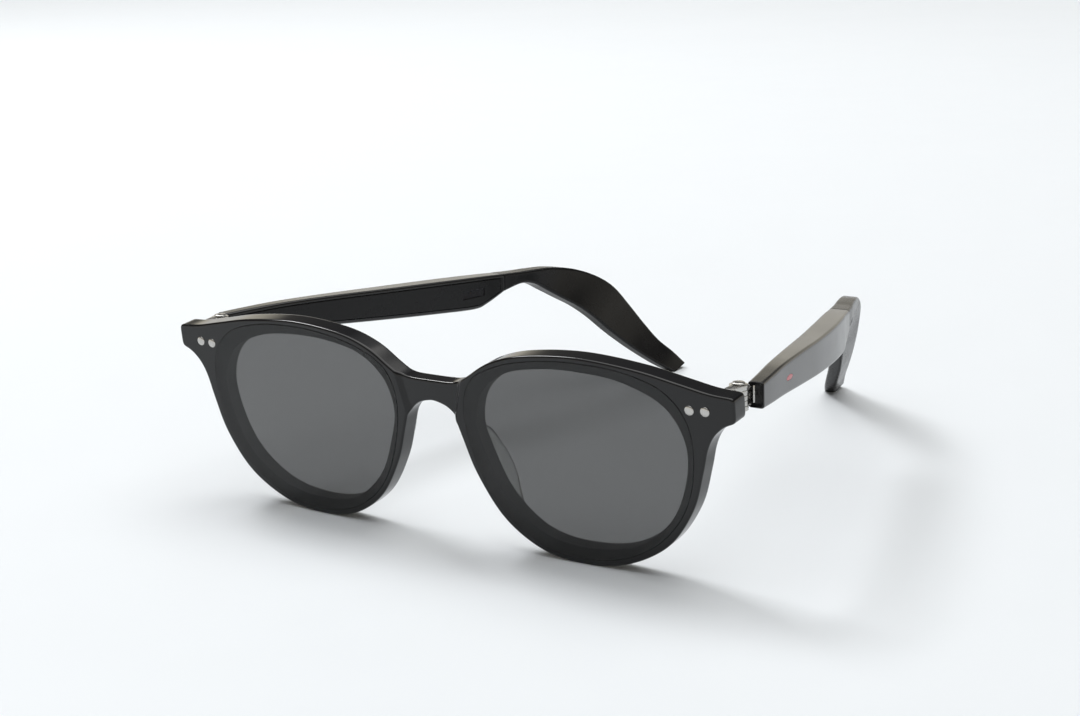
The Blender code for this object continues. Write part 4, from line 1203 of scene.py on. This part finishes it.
class GLASSES_OT_woven_meshes(bpy.types.Operator):
    """Weave the steel meshes in the sound outlets, vents and microphone ports"""
    bl_idname = "glasses.woven_meshes"
    bl_label = "Woven meshes"

    def execute(self, context):
        sizes = context.scene.glasses_temple
        tree = weave_tree()
        steel = finish_of("woven_steel")
        seed = seed_points([(0, 0, 0)], [(0, 0, 1)])
        centre, length, height = SOUND_OUTLET
        inner = COVER_THICKNESS / 2 - station_at(centre)[5] / 2
        jobs = {"speaker_mesh": (centre, length, height,
                                 lambda p, c: in_casing((p.y, p.x, p.z), c, inner))}
        for name, (centre, length, _) in PORTS.items():
            jobs[name] = (centre, length - 2 * FIT_GAP, PORT_WIDTH - 2 * FIT_GAP,
                          lambda p, c: in_casing((p.z, p.x, p.y), c)
                          - Vector((0, 0, half_height(c) - WALL / 2)))
        for tag, side in SIDES.items():
            for name, (centre, length, height, lay) in jobs.items():
                woven = grown(tree, seed, Length=length * MM, Height=height * MM,
                              Pitch=sizes.pitch, Wire_Radius=sizes.wire, Material=steel)
                turn = (lambda p: Vector((p.x, p.z, p.y))) if name == "speaker_mesh" else (
                    lambda p: p)
                moved(woven, lambda p: on_temple(side)(lay(turn(p / MM), centre)))
                piece(f"woven_{name}_{tag}", woven, steel, f"{tag}_temple",
                      [f"{name}_{tag}"], sharp=80.0)
        return {"FINISHED"}


class GLASSES_OT_status_light(bpy.types.Operator):
    """Make the long, slightly domed window of the status light in the left temple"""
    bl_idname = "glasses.status_light"
    bl_label = "Status light"

    def execute(self, context):
        profile = [(1.0, -0.8), (1.0, -0.12), (0.96, -0.05), (0.85, -0.01), (0.6, 0.0)]
        disc = moved(light_window(profile), on_temple(1.0))
        piece("status_light_window", disc, finish_of("light_window"), "left_temple",
              ["status_light"])
        return {"FINISHED"}


class GLASSES_OT_inside_parts(bpy.types.Operator):
    """Give every part inside the temples its own finish"""
    bl_idname = "glasses.inside_parts"
    bl_label = "Inside parts"

    def execute(self, context):
        slots = {part["node"]: part["material_slot"] for part in frame["record"]["subparts"]}
        for name, node in frame["nodes"].items():
            node.data.materials.clear()
            node.data.materials.append(finish_of(slots[name]))
        return {"FINISHED"}


class GLASSES_OT_stage(bpy.types.Operator):
    """Set the pale table, the room, the window's lamp, the ceiling's glow and the camera"""
    bl_idname = "glasses.stage"
    bl_label = "Stage"

    def execute(self, context):
        studio = context.scene.glasses_studio
        make_floor(context.scene.glasses_finishes.floor)
        make_world()
        make_camera(studio)
        context.scene.view_settings.view_transform = "Standard"
        window, pane = lamp("window_behind_left", "AREA", "FFFFFF", WINDOW_POWER * studio.light)
        pane.shape, pane.size = "SQUARE", WINDOW_SIZE
        way = Vector(WINDOW_AIM) - Vector(WINDOW_PLACE)
        window.location = WINDOW_PLACE
        window.rotation_euler = way.to_track_quat("-Z", "Y").to_euler()
        ceiling, glow = lamp("ceiling_glow", "SUN", "FFFDF8", GLOW_STRENGTH * studio.light)
        glow.angle = GLOW_SPREAD
        ceiling.rotation_euler = (GLOW_LEAN, 0, 0)
        return {"FINISHED"}


STEPS = (GLASSES_OT_inside_parts, GLASSES_OT_front_frame, GLASSES_OT_lenses,
         GLASSES_OT_nose_pads, GLASSES_OT_fasteners, GLASSES_OT_hinges, GLASSES_OT_temples,
         GLASSES_OT_ear_tips, GLASSES_OT_woven_meshes, GLASSES_OT_status_light,
         GLASSES_OT_stage)


class GLASSES_PT_panel(bpy.types.Panel):
    """Lists the steps that build the sunglasses"""
    bl_label = "Smart sunglasses"
    bl_idname = "GLASSES_PT_panel"
    bl_space_type = "VIEW_3D"
    bl_region_type = "UI"
    bl_category = "Glasses"

    def draw(self, context):
        for name in GROUPS:
            group = getattr(context.scene, name)
            for key in group.bl_rna.properties.keys():
                if key not in ("rna_type", "name"):
                    self.layout.prop(group, key)
        for step in STEPS:
            self.layout.operator(step.bl_idname)


GROUPS = {"glasses_front": FrontSizes, "glasses_temple": TempleSizes,
          "glasses_finishes": Finishes, "glasses_studio": Studio}


def register():
    for item in (*GROUPS.values(), *STEPS, GLASSES_PT_panel):
        bpy.utils.register_class(item)
    for name, group in GROUPS.items():
        setattr(bpy.types.Scene, name, PointerProperty(type=group))


def unregister():
    for name in GROUPS:
        delattr(bpy.types.Scene, name)
    for item in reversed((*GROUPS.values(), *STEPS, GLASSES_PT_panel)):
        bpy.utils.unregister_class(item)


def main():
    register()
    for step in STEPS:
        group, name = step.bl_idname.split(".")
        getattr(getattr(bpy.ops, group), name)()


if __name__ == "__main__":
    main()
